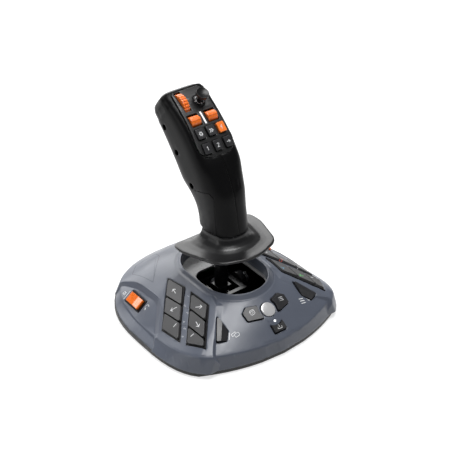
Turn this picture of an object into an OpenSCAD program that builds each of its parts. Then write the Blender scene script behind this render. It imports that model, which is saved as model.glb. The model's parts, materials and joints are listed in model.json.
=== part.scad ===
// Desktop joystick: a free-standing base with two key pads, a two-axis gimbal and a twisting grip.
// Frame: origin on the table under the stick axis, +X to the right, -Y toward the user, +Z up.
// All lengths are millimetres and all angles are degrees.

/* [Base casing] */
// Width of the base across its two sides
base_w = 195; // [185:1:210]
// Depth of the base from front to back
base_d = 190; // [182:1:205]
// Height of the rim above the table at the front corners
rim_z = 21.7; // [20.5:0.1:24]
// Fall of the rim from the front corners to the sides
side_drop = 7.7; // [6:0.1:8.5]
// Height of the lip around the stick well
lip_z = 46.9; // [45.5:0.1:50]
// Radius of the stick well at both ends
well_r = 32; // [29:0.5:34]
// Wall thickness of the top casing
wall = 2.6; // [2.2:0.1:3]
// Step from the raised body down to the front panel
panel_step = 2.2; // [1.6:0.1:2.8]

/* [Keys and buttons] */
// Height of the key tops above the panel
key_rise = 2; // [1.5:0.1:3]
// Gap around every key and button
key_gap = 0.5; // [0.4:0.05:0.7]
// Travel of the keys on the base
key_travel = 1.2; // [0.8:0.1:1.6]
// Diameter of the round button on the front panel
home_d = 13.8; // [12:0.2:15]
// Length of the rocker switch
rocker_len = 20; // [17:0.5:21]
// Width of the rocker switch
rocker_w = 10; // [8:0.5:11]

/* [Gimbal] */
// Height of the gimbal centre above the table
pivot_z = 19.5; // [19:0.25:20.5]
// Diameter of the stick shaft
shaft_d = 13; // [11:0.5:15]
// Diameter of the fore and aft pivot pins
pitch_pin_d = 6; // [5:0.25:7]
// Diameter of the side to side pivot pins
roll_pin_d = 5; // [4:0.25:5.5]
// Running clearance of every pivot, on the radius
pivot_fit = 0.06; // [0.03:0.01:0.1]

/* [Grip] */
// Height of the hand rest edge at the rear
rest_z = 79.4; // [77.5:0.1:81]
// Height of the seam between the hand rest and the grip
seam_z = 93.4; // [91.5:0.1:94.5]
// Half width of the grip at the hand rest
neck_half = 19; // [18:0.25:20.5]
// Half width of the head
head_half = 23.6; // [22.5:0.1:25]
// Wall thickness of the grip halves
grip_wall = 2.4; // [2:0.1:2.8]
// Length of the face plate
plate_len = 69; // [68:0.5:72]
// Thickness of the face plate
plate_t = 3; // [2.5:0.1:3.5]
// Tilt of the face plate from level
plate_tilt = 38; // [36:0.5:40]

/* [Head controls] */
// Width of the head buttons
button_w = 7.6; // [7:0.1:8]
// Length of the head buttons
button_len = 9.6; // [9:0.1:10]
// Height of the head buttons above the plate
button_rise = 2.2; // [1.6:0.1:3]
// Travel of the head buttons
button_travel = 0.9; // [0.6:0.1:1]
// Radius of the scroll wheel
wheel_r = 11; // [10.5:0.25:11.5]
// Radius of the two thumb rollers
roller_r = 5.2; // [5:0.1:5.5]
// Diameter of the thumb stick cap
cap_d = 12; // [11:0.2:13]

/* [Hidden] */

// Colours
slate = [0.33, 0.35, 0.39];
key_grey = [0.25, 0.25, 0.26];
matte_black = [0.06, 0.06, 0.065];
plate_grey = [0.16, 0.16, 0.17];
orange = [0.95, 0.4, 0.08];
silver = [0.85, 0.86, 0.88];
steel = [0.6, 0.6, 0.62];
board_green = [0.05, 0.25, 0.12];
white = [0.95, 0.95, 0.95];
rubber = [0.03, 0.03, 0.03];

// Scale of the plan positions when the base grows or shrinks
sx = base_w / 195;
sy = base_d / 190;
$fn = 48;
eps = 0.01;

// Plan of the base
ring_n = 60;
front_n = 3.3;
rear_n = 2.5;
front_r = 158;
side_inset = 1.5;
edge_round = 1.6;
// Inset of the rim from the foot of the wall at the front, the sides and the rear
rim_in_front = 3.5;
rim_in_side = 9;
rim_in_rear = 4.5;
rear_rise = 4.5;
side_bulge = 2.8;
front_bulge = 2;
panel_in_front = 1;
bulge_at = 0.45;
notch_more = 0.2;
cover_z = 1.2;
cover_t = 3.8;
shell_z = cover_z + cover_t;
cover_inset = 0.6;
collar_r = well_r + 6.5;
// Ends of the lip around the well, and the centres of its two arcs
lip_front = -57.5 * sy;
lip_rear = 48.5 * sy;
well_front = lip_front + collar_r;
well_rear = lip_rear - collar_r;
collar_z = lip_z - 2.5;
panel_z = collar_z - panel_step * 0.75;
gate_z = 34.4;
gate_t = 2;

// Helpers
function power(c, n) = sign(c) * pow(abs(c), 2 / n);
function blend(a, b, f) = a + (b - a) * f;
function clamp(v) = min(max(v, 0), 1);
function front_line(x, inset) = -(base_d / 2 - inset) + x * x / (2 * front_r);

// Points of the outer plan; the front half is squarer than the rear half
function raised_pt(i, inset) =
    let (t = 360 * i / ring_n, s = sin(t), n = s < 0 ? front_n : rear_n)
    [(base_w / 2 - inset) * power(cos(t), n), (base_d / 2 - inset) * power(s, n)];
function recess_pt(i, inset) =
    let (p = raised_pt(i, inset + side_inset * abs(cos(360 * i / ring_n))))
    [p[0], max(p[1], front_line(p[0], inset))];
function cover_pt(i, inset) =
    let (p = raised_pt(i, inset))
    [p[0], max(p[1], front_line(p[0], inset))];
function well_pt(i, r) =
    let (t = 360 * i / ring_n, s = sin(t), shift = abs(s) < 0.001 ? (well_front + well_rear) / 2
        : s < 0 ? well_front : well_rear)
    [r * cos(t), r * s + shift];
function raised_ring(inset, z) = [for (i = [0 : ring_n - 1]) let (p = raised_pt(i, inset)) [p[0], p[1], z]];
function recess_ring(inset, z) = [for (i = [0 : ring_n - 1]) let (p = recess_pt(i, inset)) [p[0], p[1], z]];
function well_ring(r, z) = [for (i = [0 : ring_n - 1]) let (p = well_pt(i, r)) [p[0], p[1], z]];

// The rim falls and moves in from the front corners to the sides, and rises a little at the rear
function front_ramp(i) = sin(90 * clamp((raised_pt(i, 0)[1] / sy + 75) / 65));
function rear_ramp(i) = (1 - cos(180 * clamp((raised_pt(i, 0)[1] / sy - 25) / 55))) / 2;
function front_mid(i) = i < ring_n / 2 ? 0 : clamp(1 - abs(raised_pt(i, 0)[0]) / (70 * sx));
function rim_h(i) = rim_z - side_drop * front_ramp(i) + rear_rise * rear_ramp(i);
function rim_in(i) = rim_in_front + (rim_in_side - rim_in_front) * front_ramp(i)
    + (rim_in_rear - rim_in_side) * rear_ramp(i);
function raised_rim(inset, up) =
    [for (i = [0 : ring_n - 1]) let (p = raised_pt(i, rim_in(i) + inset)) [p[0], p[1], rim_h(i) + up]];
function recess_rim(inset, up) =
    [for (i = [0 : ring_n - 1]) let (p = recess_pt(i, blend(rim_in(i), panel_in_front, front_mid(i)) + inset))
        [p[0], p[1], rim_h(i) - panel_step - notch_more * front_ramp(i) + up]];
function bulged(low, high, mid) =
    [for (i = [0 : ring_n - 1])
        blend(low[i], high[i], bulge_at) + [0, 0, side_bulge * front_ramp(i) + mid * front_mid(i)]];
raised_edge = raised_rim(edge_round, edge_round / 3);
raised_top = well_ring(collar_r, collar_z);
raised_skin = [raised_edge, bulged(raised_edge, raised_top, 0), raised_top];
recess_edge = recess_rim(edge_round, edge_round / 3);
recess_top = well_ring(collar_r, panel_z);
recess_skin = [recess_edge, bulged(recess_edge, recess_top, front_bulge), recess_top];

// Height of a skin over a plan point; other is returned beside the skin
function tri_z(a, b, c, x, y) =
    let (d = (b[1] - c[1]) * (a[0] - c[0]) + (c[0] - b[0]) * (a[1] - c[1]),
        l = ((b[1] - c[1]) * (x - c[0]) + (c[0] - b[0]) * (y - c[1])) / d,
        m = ((c[1] - a[1]) * (x - c[0]) + (a[0] - c[0]) * (y - c[1])) / d)
    min(l, m, 1 - l - m) < -0.0001 ? undef : l * a[2] + m * b[2] + (1 - l - m) * c[2];
function skin_z(skin, x, y, other) =
    let (hits = [for (j = [0 : len(skin) - 2]) for (i = [0 : ring_n - 1])
        let (k = (i + 1) % ring_n, a = skin[j][i], b = skin[j][k], c = skin[j + 1][i], d = skin[j + 1][k],
            z0 = tri_z(a, c, b, x, y), z1 = tri_z(b, c, d, x, y))
        if (!is_undef(z0) || !is_undef(z1)) is_undef(z0) ? z1 : z0])
    len(hits) > 0 ? hits[0] : other;
function raised_h(x, y) = skin_z(raised_skin, x, y, norm([x, y]) < base_w / 4 ? collar_z : rim_z - side_drop);
function recess_h(x, y) =
    skin_z(recess_skin, x, y, norm([x, y]) < base_w / 4 ? panel_z : rim_z - side_drop - panel_step);
function on_raised(q) = [q[0] * sx, q[1] * sy, raised_h(q[0] * sx, q[1] * sy)];
function on_recess(q) = [q[0] * sx, q[1] * sy, recess_h(q[0] * sx, q[1] * sy)];

// Plane z = p[0] + p[1] x + p[2] y through three points
function plane3(a, b, c) =
    let (n = cross(b - a, c - a), gx = -n[0] / n[2], gy = -n[1] / n[2])
    [a[2] - gx * a[0] - gy * a[1], gx, gy];
function plane_z(p, x, y) = p[0] + p[1] * x + p[2] * y;
function plane_tip(p) = asin(p[2] / norm([1, p[1], p[2]]));
function plane_lean(p) = -atan(p[1]);
// Plan point written in the axes of a tilted plane whose origin is at o
function in_plane(p, o, q) =
    let (rx = plane_tip(p), ry = plane_lean(p), d = [q[0] - o[0], q[1] - o[1], plane_z(p, q[0], q[1])
        - plane_z(p, o[0], o[1])])
    [d * [cos(ry), 0, -sin(ry)], d * [sin(rx) * sin(ry), cos(rx), sin(rx) * cos(ry)]];
module on_plane(p, o) {
    translate([o[0], o[1], plane_z(p, o[0], o[1])])
        rotate([plane_tip(p), plane_lean(p), 0])
            children();
}

// Polygon with rounded corners; every corner turns on an arc of radius r
function unit(v) = v / norm(v);
function corner(a, b, c, r, k) =
    let (u = unit(a - b), v = unit(c - b), half = acos(max(-1, min(1, u * v))) / 2,
        t = min(r / tan(half), 0.45 * min(norm(a - b), norm(c - b))), rr = t * tan(half),
        m = b + unit(u + v) * rr / sin(half), p0 = b + u * t, p1 = b + v * t,
        a0 = atan2(p0[1] - m[1], p0[0] - m[0]), a1 = atan2(p1[1] - m[1], p1[0] - m[0]),
        turn = a1 - a0, sweep = turn > 180 ? turn - 360 : turn < -180 ? turn + 360 : turn)
    [for (j = [0 : k]) m + rr * [cos(a0 + sweep * j / k), sin(a0 + sweep * j / k)]];
function rounded(pts, r, k = 4) =
    let (n = len(pts))
    [for (i = [0 : n - 1]) for (q = corner(pts[(i + n - 1) % n], pts[i], pts[(i + 1) % n],
        is_list(r) ? r[i] : r, k)) q];
// Straight-sided polygon with every side moved by d, outward when d is positive
function side_moved(a, b, d) = let (u = unit(b - a)) [a + [u[1], -u[0]] * d, u];
function meet(l, m) =
    let (w = m[0] - l[0], det = l[1][0] * m[1][1] - l[1][1] * m[1][0])
    l[0] + l[1] * (w[0] * m[1][1] - w[1] * m[1][0]) / det;
function grown(pts, d) =
    let (n = len(pts))
    [for (i = [0 : n - 1]) meet(side_moved(pts[(i + n - 1) % n], pts[i], d), side_moved(pts[i],
        pts[(i + 1) % n], d))];
function mirrored(pts) = [for (i = [len(pts) - 1 : -1 : 0]) [-pts[i][0], pts[i][1]]];

// Skin over a stack of rings with equal point counts, closed by flat ends
module loft(rings) {
    n = len(rings[0]);
    m = len(rings);
    points = [for (r = rings) for (p = r) p];
    sides = [for (j = [0 : m - 2]) for (i = [0 : n - 1]) for (k = [0 : 1])
        let (a = j * n + i, b = j * n + (i + 1) % n, c = a + n, d = b + n)
        k == 0 ? [a, c, b] : [b, c, d]];
    low = [for (i = [0 : n - 1]) i];
    high = [for (i = [0 : n - 1]) m * n - 1 - i];
    polyhedron(points, concat([low], sides, [high]));
}
module prism(pts, z0, z1) {
    translate([0, 0, z0])
        linear_extrude(z1 - z0)
            polygon(pts);
}
module rod(d, h) {
    cylinder(d = d, h = h);
}
module along_x(x) {
    translate([x, 0, 0])
        rotate([0, 90, 0])
            children();
}
module along_y(y) {
    translate([0, y, 0])
        rotate([-90, 0, 0])
            children();
}
module both_sides() {
    children();
    mirror([1, 0, 0])
        children();
}

// Base casing

// Room above a lowered panel. The border runs from its low edge up a strip to its high edge.
module panel_cut(low, high, far) {
    n = len(low);
    top = lip_z * 2;
    low_z = [for (p = low) on_recess(p)[2]];
    high_z = [for (p = high) on_raised(p)[2]];
    function ring(pts, z, fz) = concat([for (k = [1 : len(far)]) let (q = far[len(far) - k])
        [q[0] * sx, q[1] * sy, fz]], [for (k = [1 : n]) let (q = pts[n - k]) [q[0] * sx, q[1] * sy, z[n - k]]]);
    over = [for (i = [0 : n - 1]) high[i] + (high[i] - low[i]) * 2];
    over_z = [for (i = [0 : n - 1]) high_z[i] + (high_z[i] - low_z[i]) * 2];
    flat = [for (p = low) -1];
    cap = [for (p = low) top];
    loft([ring(low, flat, -1), ring(low, low_z, shell_z), ring(high, high_z, rim_z), ring(over, over_z, lip_z),
        ring(over, cap, top)]);
}
// Bevel strips beside the front panel
strip_in = [27, -39.5];
strip_out = [63.5, -81.5];
strip_shift = [6, 2.4];
strip_steps = [-0.2, 0.15, 0.4, 0.7, 0.95, 1.4];
front_wall_y = -81.4 * sy;
module front_cut() {
    low = [for (t = strip_steps) strip_in + (strip_out - strip_in) * t];
    high = [for (p = low) p + strip_shift];
    panel_cut(concat(low, mirrored(low)), concat(high, mirrored(high)), []);
    translate([-base_w / 2, front_wall_y - base_d, -1])
        cube([base_w, base_d, lip_z * 2]);
}
// Recess around the rocker switch
notch_low = [[93.4, -22.2], [85.3, -12.4], [69.1, 7.2], [67.2, 13.2], [67.2, 29.9], [68.6, 48], [73, 62], [84, 82]];
notch_high = [[92.8, -28], [84.7, -18.3], [68.5, 1.2], [64.6, 10], [64.1, 27], [65.3, 49.6], [69.5, 64.5], [80, 85]];
notch_far = 130;
module notch_cut() {
    n = len(notch_low);
    panel_cut(notch_low, notch_high, [[notch_far, notch_high[n - 1][1]], [notch_far, notch_high[0][1]]]);
}
module raised_body() {
    loft(concat([raised_ring(0, shell_z), raised_rim(-0.5, -edge_round), raised_rim(0, -edge_round / 3)],
        raised_skin));
}
module recess_body() {
    loft(concat([recess_ring(0, shell_z), recess_rim(-0.5, -edge_round), recess_rim(0, -edge_round / 3)],
        recess_skin));
}
module cavity() {
    low = recess_rim(wall, -wall * 1.3);
    high = well_ring(collar_r - wall, panel_z - wall * 1.2);
    loft([recess_ring(wall, shell_z - 1), low, bulged(low, high, front_bulge), high]);
}
module well_2d(r) {
    translate([0, well_front])
        circle(r = r, $fn = 72);
    translate([0, well_rear])
        circle(r = r, $fn = 72);
    translate([-r, well_front])
        square([2 * r, well_rear - well_front]);
}
module collar() {
    loft([well_ring(collar_r + 1.5, panel_z - 2.5), well_ring(well_r + 1.6, lip_z - 0.5),
        well_ring(well_r + 0.9, lip_z)]);
}

// Screw posts that hold the bottom cover
post_at = [[52 * sx, -80 * sy], [76 * sx, 0], [62 * sx, 56 * sy], [24 * sx, 82 * sy]];
post_d = 8;
screw_d = 3;
screw_fit = 0.05;
screw_head_d = 5.6;
screw_head_h = 1.6;
screw_len = 7;
module at_posts() {
    both_sides()
        for (p = post_at)
            translate([p[0], p[1], 0])
                children();
}

module base_shell() {
    color(slate)
    difference() {
        union() {
            difference() {
                union() {
                    recess_body();
                    difference() {
                        raised_body();
                        front_cut();
                        both_sides()
                            notch_cut();
                    }
                    collar();
                }
                cavity();
            }
            translate([0, 0, gate_z])
                linear_extrude(panel_z - gate_z)
                    well_2d(well_r + wall);
            intersection() {
                recess_body();
                union() {
                    at_posts()
                        translate([0, 0, shell_z])
                            rod(post_d, lip_z);
                    at_front_posts()
                        translate([0, 0, -board_drop])
                            rod(front_post_d, board_drop);
                }
            }
        }
        translate([0, 0, gate_z - eps])
            linear_extrude(lip_z)
                well_2d(well_r);
        both_sides() {
            key_openings();
            rocker_opening();
        }
        front_openings();
        inlet_opening();
        at_posts()
            translate([0, 0, shell_z - eps])
                rod(screw_d, screw_len);
    }
}

foot_d = 17;
foot_h = 2.2;
foot_at = [[58 * sx, -60 * sy], [70 * sx, 36 * sy]];
board_post_h = 4;
module at_feet() {
    both_sides()
        for (p = foot_at)
            translate([p[0], p[1], 0])
                children();
}
board_w = 80;
board_d = 34;
board_y = 57 * sy;
module at_board_corners() {
    for (x = [-1, 1])
        for (y = [-1, 1])
            translate([x * (board_w / 2 - 4), board_y + y * (board_d / 2 - 4), 0])
                children();
}
module bottom_cover() {
    color(matte_black)
    difference() {
        union() {
            prism([for (i = [0 : ring_n - 1]) cover_pt(i, cover_inset)], cover_z, shell_z);
            at_board_corners()
                translate([0, 0, shell_z])
                    rod(6, board_post_h);
        }
        at_feet()
            rod(foot_d, foot_h);
        at_posts() {
            translate([0, 0, cover_z - eps])
                rod(screw_d + 2 * screw_fit, cover_t * 2);
            translate([0, 0, cover_z - eps])
                rod(screw_head_d + 2 * screw_fit, screw_head_h + eps);
        }
    }
}
module rubber_feet() {
    color(rubber)
    at_feet()
        rod(foot_d, foot_h);
}
module case_screws() {
    color(steel)
    at_posts()
        translate([0, 0, cover_z]) {
            difference() {
                rod(screw_head_d, screw_head_h);
                translate([0, 0, -eps])
                    cylinder(d = 2.6, h = 1, $fn = 6);
            }
            translate([0, 0, screw_head_h])
                rod(screw_d - 2 * screw_fit, shell_z - cover_z - screw_head_h + screw_len - 1);
        }
}

// Key pads: each side has a rear and a front column of three keys, given as plan corners on the right side
col_rear = [[47.5, 18.6], [60.1, 4.3], [70.6, -7.9], [80.9, -19], [45.3, -2.9], [58.1, -17.9], [69, -30.5],
    [79.5, -42.9]];
col_front = [[45, -14.7], [55.7, -27.1], [67, -39.7], [77.7, -52.5], [43.3, -37.2], [54.4, -48.9], [65.5, -62],
    [70, -67.9]];
tray_rim = 1.1;
tray_deep = 7.4;
tray_floor = 1.4;
tray_over = 0.4;
key_deep = 3;
key_round = 1.1;
function scaled(q) = [q[0] * sx, q[1] * sy];
function col_pts(c) = c == 0 ? col_rear : col_front;
// Plane of a whole column, and the plane and centre of each key in it
function col_plane(c) = let (q = col_pts(c)) plane3(on_raised((q[0] + q[4]) / 2), on_raised(q[7]), on_raised(q[3]));
function col_at(c) = scaled(col_pts(c)[5]);
function col_quad(c) = [for (i = [4, 7, 3, 0]) in_plane(col_plane(c), col_at(c), scaled(col_pts(c)[i]))];
function key_corners(c, k) = [for (i = [4 + k, 5 + k, 1 + k, k]) col_pts(c)[i]];
function key_plane(c, k) = let (q = key_corners(c, k))
    plane3(on_raised((q[0] + q[1]) / 2), on_raised(q[2]), on_raised(q[3]));
function key_at(c, k) = let (q = key_corners(c, k)) scaled((q[0] + q[1] + q[2] + q[3]) / 4);
function key_quad(c, k) = [for (q = key_corners(c, k)) in_plane(key_plane(c, k), key_at(c, k), scaled(q))];
module tray_block(c, grow, z0, z1) {
    on_plane(col_plane(c), col_at(c))
        prism(grown(col_quad(c), grow), z0, z1);
}
module key_openings() {
    for (c = [0, 1])
        tray_block(c, tray_rim, -tray_deep, lip_z);
}
module key_tray() {
    for (c = [0, 1])
        difference() {
            tray_block(c, tray_rim, -tray_deep, tray_over);
            tray_block(c, -0.1, -tray_deep + tray_floor, lip_z);
        }
}
module key_tray_right() {
    color(matte_black)
    key_tray();
}
module key_tray_left() {
    color(matte_black)
    mirror([1, 0, 0])
        key_tray();
}
// One key of a column
module pad_key(c, k) {
    color(key_grey)
    on_plane(key_plane(c, k), key_at(c, k))
        prism(rounded(grown(key_quad(c, k), -0.1 - key_gap), key_round), -key_deep, key_rise);
}
module key_r1() {
    pad_key(0, 0);
}
module key_r2() {
    pad_key(0, 1);
}
module key_r3() {
    pad_key(0, 2);
}
module key_r4() {
    pad_key(1, 0);
}
module key_r5() {
    pad_key(1, 1);
}
module key_r6() {
    pad_key(1, 2);
}
module key_l1() {
    mirror([1, 0, 0])
        pad_key(0, 0);
}
module key_l2() {
    mirror([1, 0, 0])
        pad_key(0, 1);
}
module key_l3() {
    mirror([1, 0, 0])
        pad_key(0, 2);
}
module key_l4() {
    mirror([1, 0, 0])
        pad_key(1, 0);
}
module key_l5() {
    mirror([1, 0, 0])
        pad_key(1, 1);
}
module key_l6() {
    mirror([1, 0, 0])
        pad_key(1, 2);
}

// Front panel buttons
home_at = [0, -69.6 * sy];
light_at = [0, -79.7 * sy];
lower_at = [0, -85.8 * sy];
light_d = 2.4;
mid_plane = plane3(on_recess([0, -62]) - [10, 0, 0], on_recess([0, -62]) + [10, 0, 0], on_recess([0, -86]));
page_pts = [[8.6, -74.9], [23.5, -70.2], [23.7, -62.7], [18.3, -59.6], [8.4, -63]];
page_cut_r = 9.6;
page_at = [17 * sx, -67 * sy];
page_plane = plane3(on_recess([8, -63]), on_recess([23, -62]), on_recess([17, -73]));
wedge_pts = [[43.3, -66.6], [49.6, -73], [57.7, -69.1], [43.7, -51]];
wedge_at = [47.5 * sx, -64 * sy];
wedge_plane = plane3(on_recess([44.5, -56]), on_recess([56, -68]), on_recess([45, -69]));
lower_pts = [[-6.4, -3.3], [6.4, -3.3], [6.4, 5], [-6.4, 5]];
// The rear edge of the lower button curves around the light
lower_cut_r = 9.2;
lower_cut_y = 11.5;
// Ridge of the wedge buttons; the inner face falls away from it
ridge_pts = [[44.4, -59.5], [54.2, -70.9]];
wedge_rise = 1;
wedge_fall = 24;
press_travel = 1;
press_rise = 1.8;
press_deep = 5.5;
dome_k = 3;

function page_shape(d) = let (q = [for (p = page_pts) in_plane(page_plane, page_at, scaled(p))]) grown(q, d);
function wedge_shape(d) = let (q = [for (p = wedge_pts) in_plane(wedge_plane, wedge_at, scaled(p))]) grown(q, d);
function lower_shape(d) = grown([for (p = lower_pts) p], d);
module page_prism(d, z0, z1) {
    on_plane(page_plane, page_at)
        difference() {
            prism(rounded(page_shape(d), 1.2), z0, z1);
            translate([in_plane(page_plane, page_at, home_at)[0], in_plane(page_plane, page_at, home_at)[1],
                z0 - eps])
                cylinder(r = page_cut_r - d, h = z1 - z0 + 2 * eps);
        }
}
module wedge_prism(d, z0, z1) {
    on_plane(wedge_plane, wedge_at)
        prism(rounded(wedge_shape(d), 1), z0, z1);
}
module lower_prism(d, z0, z1) {
    on_plane(mid_plane, lower_at)
        difference() {
            prism(rounded(lower_shape(d), 0.8), z0, z1);
            translate([0, lower_cut_y, z0 - eps])
                cylinder(r = lower_cut_r - d, h = z1 - z0 + 2 * eps);
        }
}
module home_disc(d, z0, z1) {
    on_plane(mid_plane, home_at)
        translate([0, 0, z0])
            rod(d, z1 - z0);
}
module front_openings() {
    home_disc(home_d + 2 * key_gap, -lip_z / 2, lip_z);
    on_plane(mid_plane, light_at)
        translate([0, 0, -lip_z / 2])
            rod(light_d, lip_z);
    lower_prism(key_gap, -lip_z / 3, lip_z);
    both_sides() {
        page_prism(key_gap, -lip_z / 2, lip_z);
        wedge_prism(key_gap, -lip_z / 2, lip_z);
    }
}
module home_button() {
    color(silver)
    intersection() {
        home_disc(home_d, -press_deep, press_rise);
        on_plane(mid_plane, home_at)
            translate([0, 0, press_rise - dome_k * home_d])
                sphere(r = dome_k * home_d, $fn = 96);
    }
}
module page_button() {
    color(key_grey)
    page_prism(0, -press_deep, press_rise);
}
module page_button_right() {
    page_button();
}
module page_button_left() {
    mirror([1, 0, 0])
        page_button();
}
module wedge_button() {
    r0 = in_plane(wedge_plane, wedge_at, scaled(ridge_pts[0]));
    r1 = in_plane(wedge_plane, wedge_at, scaled(ridge_pts[1]));
    color(key_grey)
    difference() {
        wedge_prism(0, -press_deep, press_rise + wedge_rise);
        on_plane(wedge_plane, wedge_at)
            translate([r0[0], r0[1], press_rise + wedge_rise])
                rotate([wedge_fall, 0, atan2(r1[1] - r0[1], r1[0] - r0[0])])
                    translate([-lip_z, -lip_z, 0])
                        cube([lip_z * 2, lip_z, lip_z]);
    }
}
module wedge_button_right() {
    wedge_button();
}
module wedge_button_left() {
    mirror([1, 0, 0])
        wedge_button();
}
module lower_button() {
    color(key_grey)
    lower_prism(0, -press_deep, press_rise);
}
module status_light() {
    color(white)
    on_plane(mid_plane, light_at)
        translate([0, 0, -wall * 1.4])
            rod(light_d, wall * 1.4 + 0.5);
}
board_drop = 9.7;
board_t = 1.6;
front_post_d = 4;
front_board_w = 60;
front_board_d = 20;
front_board_y = -1.5;
front_posts = [[-19, -9], [19, -9], [-27, 0], [27, 0]];
module at_front_posts() {
    on_plane(mid_plane, home_at)
        for (p = front_posts)
            translate([p[0], p[1], 0])
                children();
}
module front_board() {
    color(board_green)
    on_plane(mid_plane, home_at)
        translate([-front_board_w / 2, front_board_y - front_board_d / 2, -board_drop - board_t])
            cube([front_board_w, front_board_d, board_t]);
}

// Rocker switches in the side recesses
rocker_at = [75.6 * sx, 33 * sy];
rocker_plane = plane3(on_recess([71, 22]), on_recess([79.5, 23]), on_recess([72, 43]));
rocker_pin_d = 2.4;
rocker_deep = 1.5;
rocker_low = 3;
frame_rim = 1.2;
frame_deep = 5.4;
frame_floor = 1;
pin_short = 0.3;
function box_pts(w, l) = [[-w / 2, -l / 2], [w / 2, -l / 2], [w / 2, l / 2], [-w / 2, l / 2]];
frame_pts = box_pts(rocker_w + 2 * (frame_rim + key_gap), rocker_len + 2 * (frame_rim + key_gap + 0.4));
hole_pts = box_pts(rocker_w + 2 * key_gap, rocker_len + 2 * (key_gap + 0.4));
module at_rocker() {
    on_plane(rocker_plane, rocker_at)
        children();
}
module rocker_opening() {
    at_rocker()
        prism(frame_pts, -frame_deep, lip_z);
}
module rocker_frame() {
    color(matte_black)
    at_rocker()
        difference() {
            prism(frame_pts, -frame_deep, 0.6);
            prism(hole_pts, -frame_deep + frame_floor, lip_z);
            along_x(-rocker_w)
                translate([rocker_deep, 0, 0])
                    rod(rocker_pin_d + 2 * pivot_fit, rocker_w * 2);
        }
}
module rocker() {
    color(orange)
    at_rocker() {
        translate([-rocker_w / 2, 0, 0])
            rotate([90, 0, 90])
                linear_extrude(rocker_w)
                    polygon([[-rocker_len / 2, 2], [-rocker_len / 2 + 0.6, -0.6], [-2.5, -rocker_low],
                        [2.5, -rocker_low], [rocker_len / 2 - 0.6, -0.6], [rocker_len / 2, 2],
                        [rocker_len / 2 - 0.8, 3], [0, 1.3], [-rocker_len / 2 + 0.8, 3]]);
        along_x(-rocker_w / 2 - key_gap - frame_rim + pin_short)
            translate([rocker_deep, 0, 0])
                rod(rocker_pin_d, rocker_w + 2 * (key_gap + frame_rim - pin_short));
    }
}
module rocker_right() {
    rocker();
}
module rocker_left() {
    mirror([1, 0, 0])
        rocker();
}
module rocker_frame_right() {
    rocker_frame();
}
module rocker_frame_left() {
    mirror([1, 0, 0])
        rocker_frame();
}

// Parts on the bottom cover and in the well
window_left = -22;
window_right = 29.5;
window_edge = 1.2;
window_front = -46 * sy;
window_rear = 17 * sy;
window_round = 11;
module gate_plate() {
    color(plate_grey)
    difference() {
        translate([0, 0, gate_z - gate_t])
            linear_extrude(gate_t)
                well_2d(well_r + wall);
        intersection() {
            prism(rounded([[window_left, window_front], [window_right, window_front], [window_right, window_rear],
                [window_left, window_rear]], window_round, 8), 0, lip_z);
            linear_extrude(lip_z)
                well_2d(well_r - window_edge);
        }
    }
}
module main_board() {
    color(board_green)
    translate([-board_w / 2, board_y - board_d / 2, shell_z + board_post_h])
        cube([board_w, board_d, board_t]);
}
inlet_w = 12;
inlet_h = 6;
inlet_z = 11;
inlet_len = 10;
inlet_y = base_d / 2 - 1.4;
slot_w = 8.6;
slot_h = 2.8;
module inlet_opening() {
    translate([-inlet_w / 2, inlet_y - inlet_len, inlet_z - inlet_h / 2])
        cube([inlet_w, inlet_len * 2, inlet_h]);
}
module cable_inlet() {
    color(steel)
    difference() {
        translate([-inlet_w / 2, inlet_y - inlet_len, inlet_z - inlet_h / 2])
            cube([inlet_w, inlet_len, inlet_h]);
        translate([0, inlet_y - 7, inlet_z])
            rotate([-90, 0, 0])
                linear_extrude(inlet_len)
                    polygon(rounded(box_pts(slot_w, slot_h), slot_h * 0.45, 4));
    }
}

// Gimbal
ring_in_x = 12;
ring_in_y = 14;
ring_x = 17;
ring_y = 18;
ring_half_h = 4;
mount_post_x = 18.5;
mount_post_t = 6;
mount_half_y = 9;
mount_t = 2.2;
mount_top = shell_z + mount_t;
block_half = 7;
block_half_h = 5;
pitch_pin_end = 32;
stub_d = 8;
stub_low = 8.5;
magnet_d = 5;
magnet_h = 3;
module gimbal_mount() {
    color(matte_black)
    difference() {
        union() {
            translate([-mount_post_x - mount_post_t, -mount_half_y, shell_z])
                cube([2 * (mount_post_x + mount_post_t), 2 * mount_half_y, mount_t]);
            both_sides()
                translate([mount_post_x, -mount_half_y, shell_z])
                    cube([mount_post_t, 2 * mount_half_y, pivot_z - shell_z]);
            both_sides()
                translate([0, 0, pivot_z])
                    along_x(mount_post_x)
                        cylinder(r = mount_half_y, h = mount_post_t);
        }
        translate([0, 0, pivot_z])
            along_x(-base_w / 4)
                rod(pitch_pin_d + 2 * pivot_fit, base_w / 2);
    }
}
module gimbal_ring() {
    color(plate_grey)
    translate([0, 0, pivot_z]) {
        difference() {
            translate([-ring_x, -ring_y, -ring_half_h])
                cube([2 * ring_x, 2 * ring_y, 2 * ring_half_h]);
            translate([-ring_in_x, -ring_in_y, -ring_half_h - 1])
                cube([2 * ring_in_x, 2 * ring_in_y, 2 * ring_half_h + 2]);
            along_y(-ring_y - 1)
                rod(roll_pin_d + 2 * pivot_fit, 2 * ring_y + 2);
        }
        both_sides()
            along_x(ring_x - eps)
                rod(pitch_pin_d, pitch_pin_end - ring_x);
    }
}
shaft_top = seam_z + 22;
rest_hub_d = 26;
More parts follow.
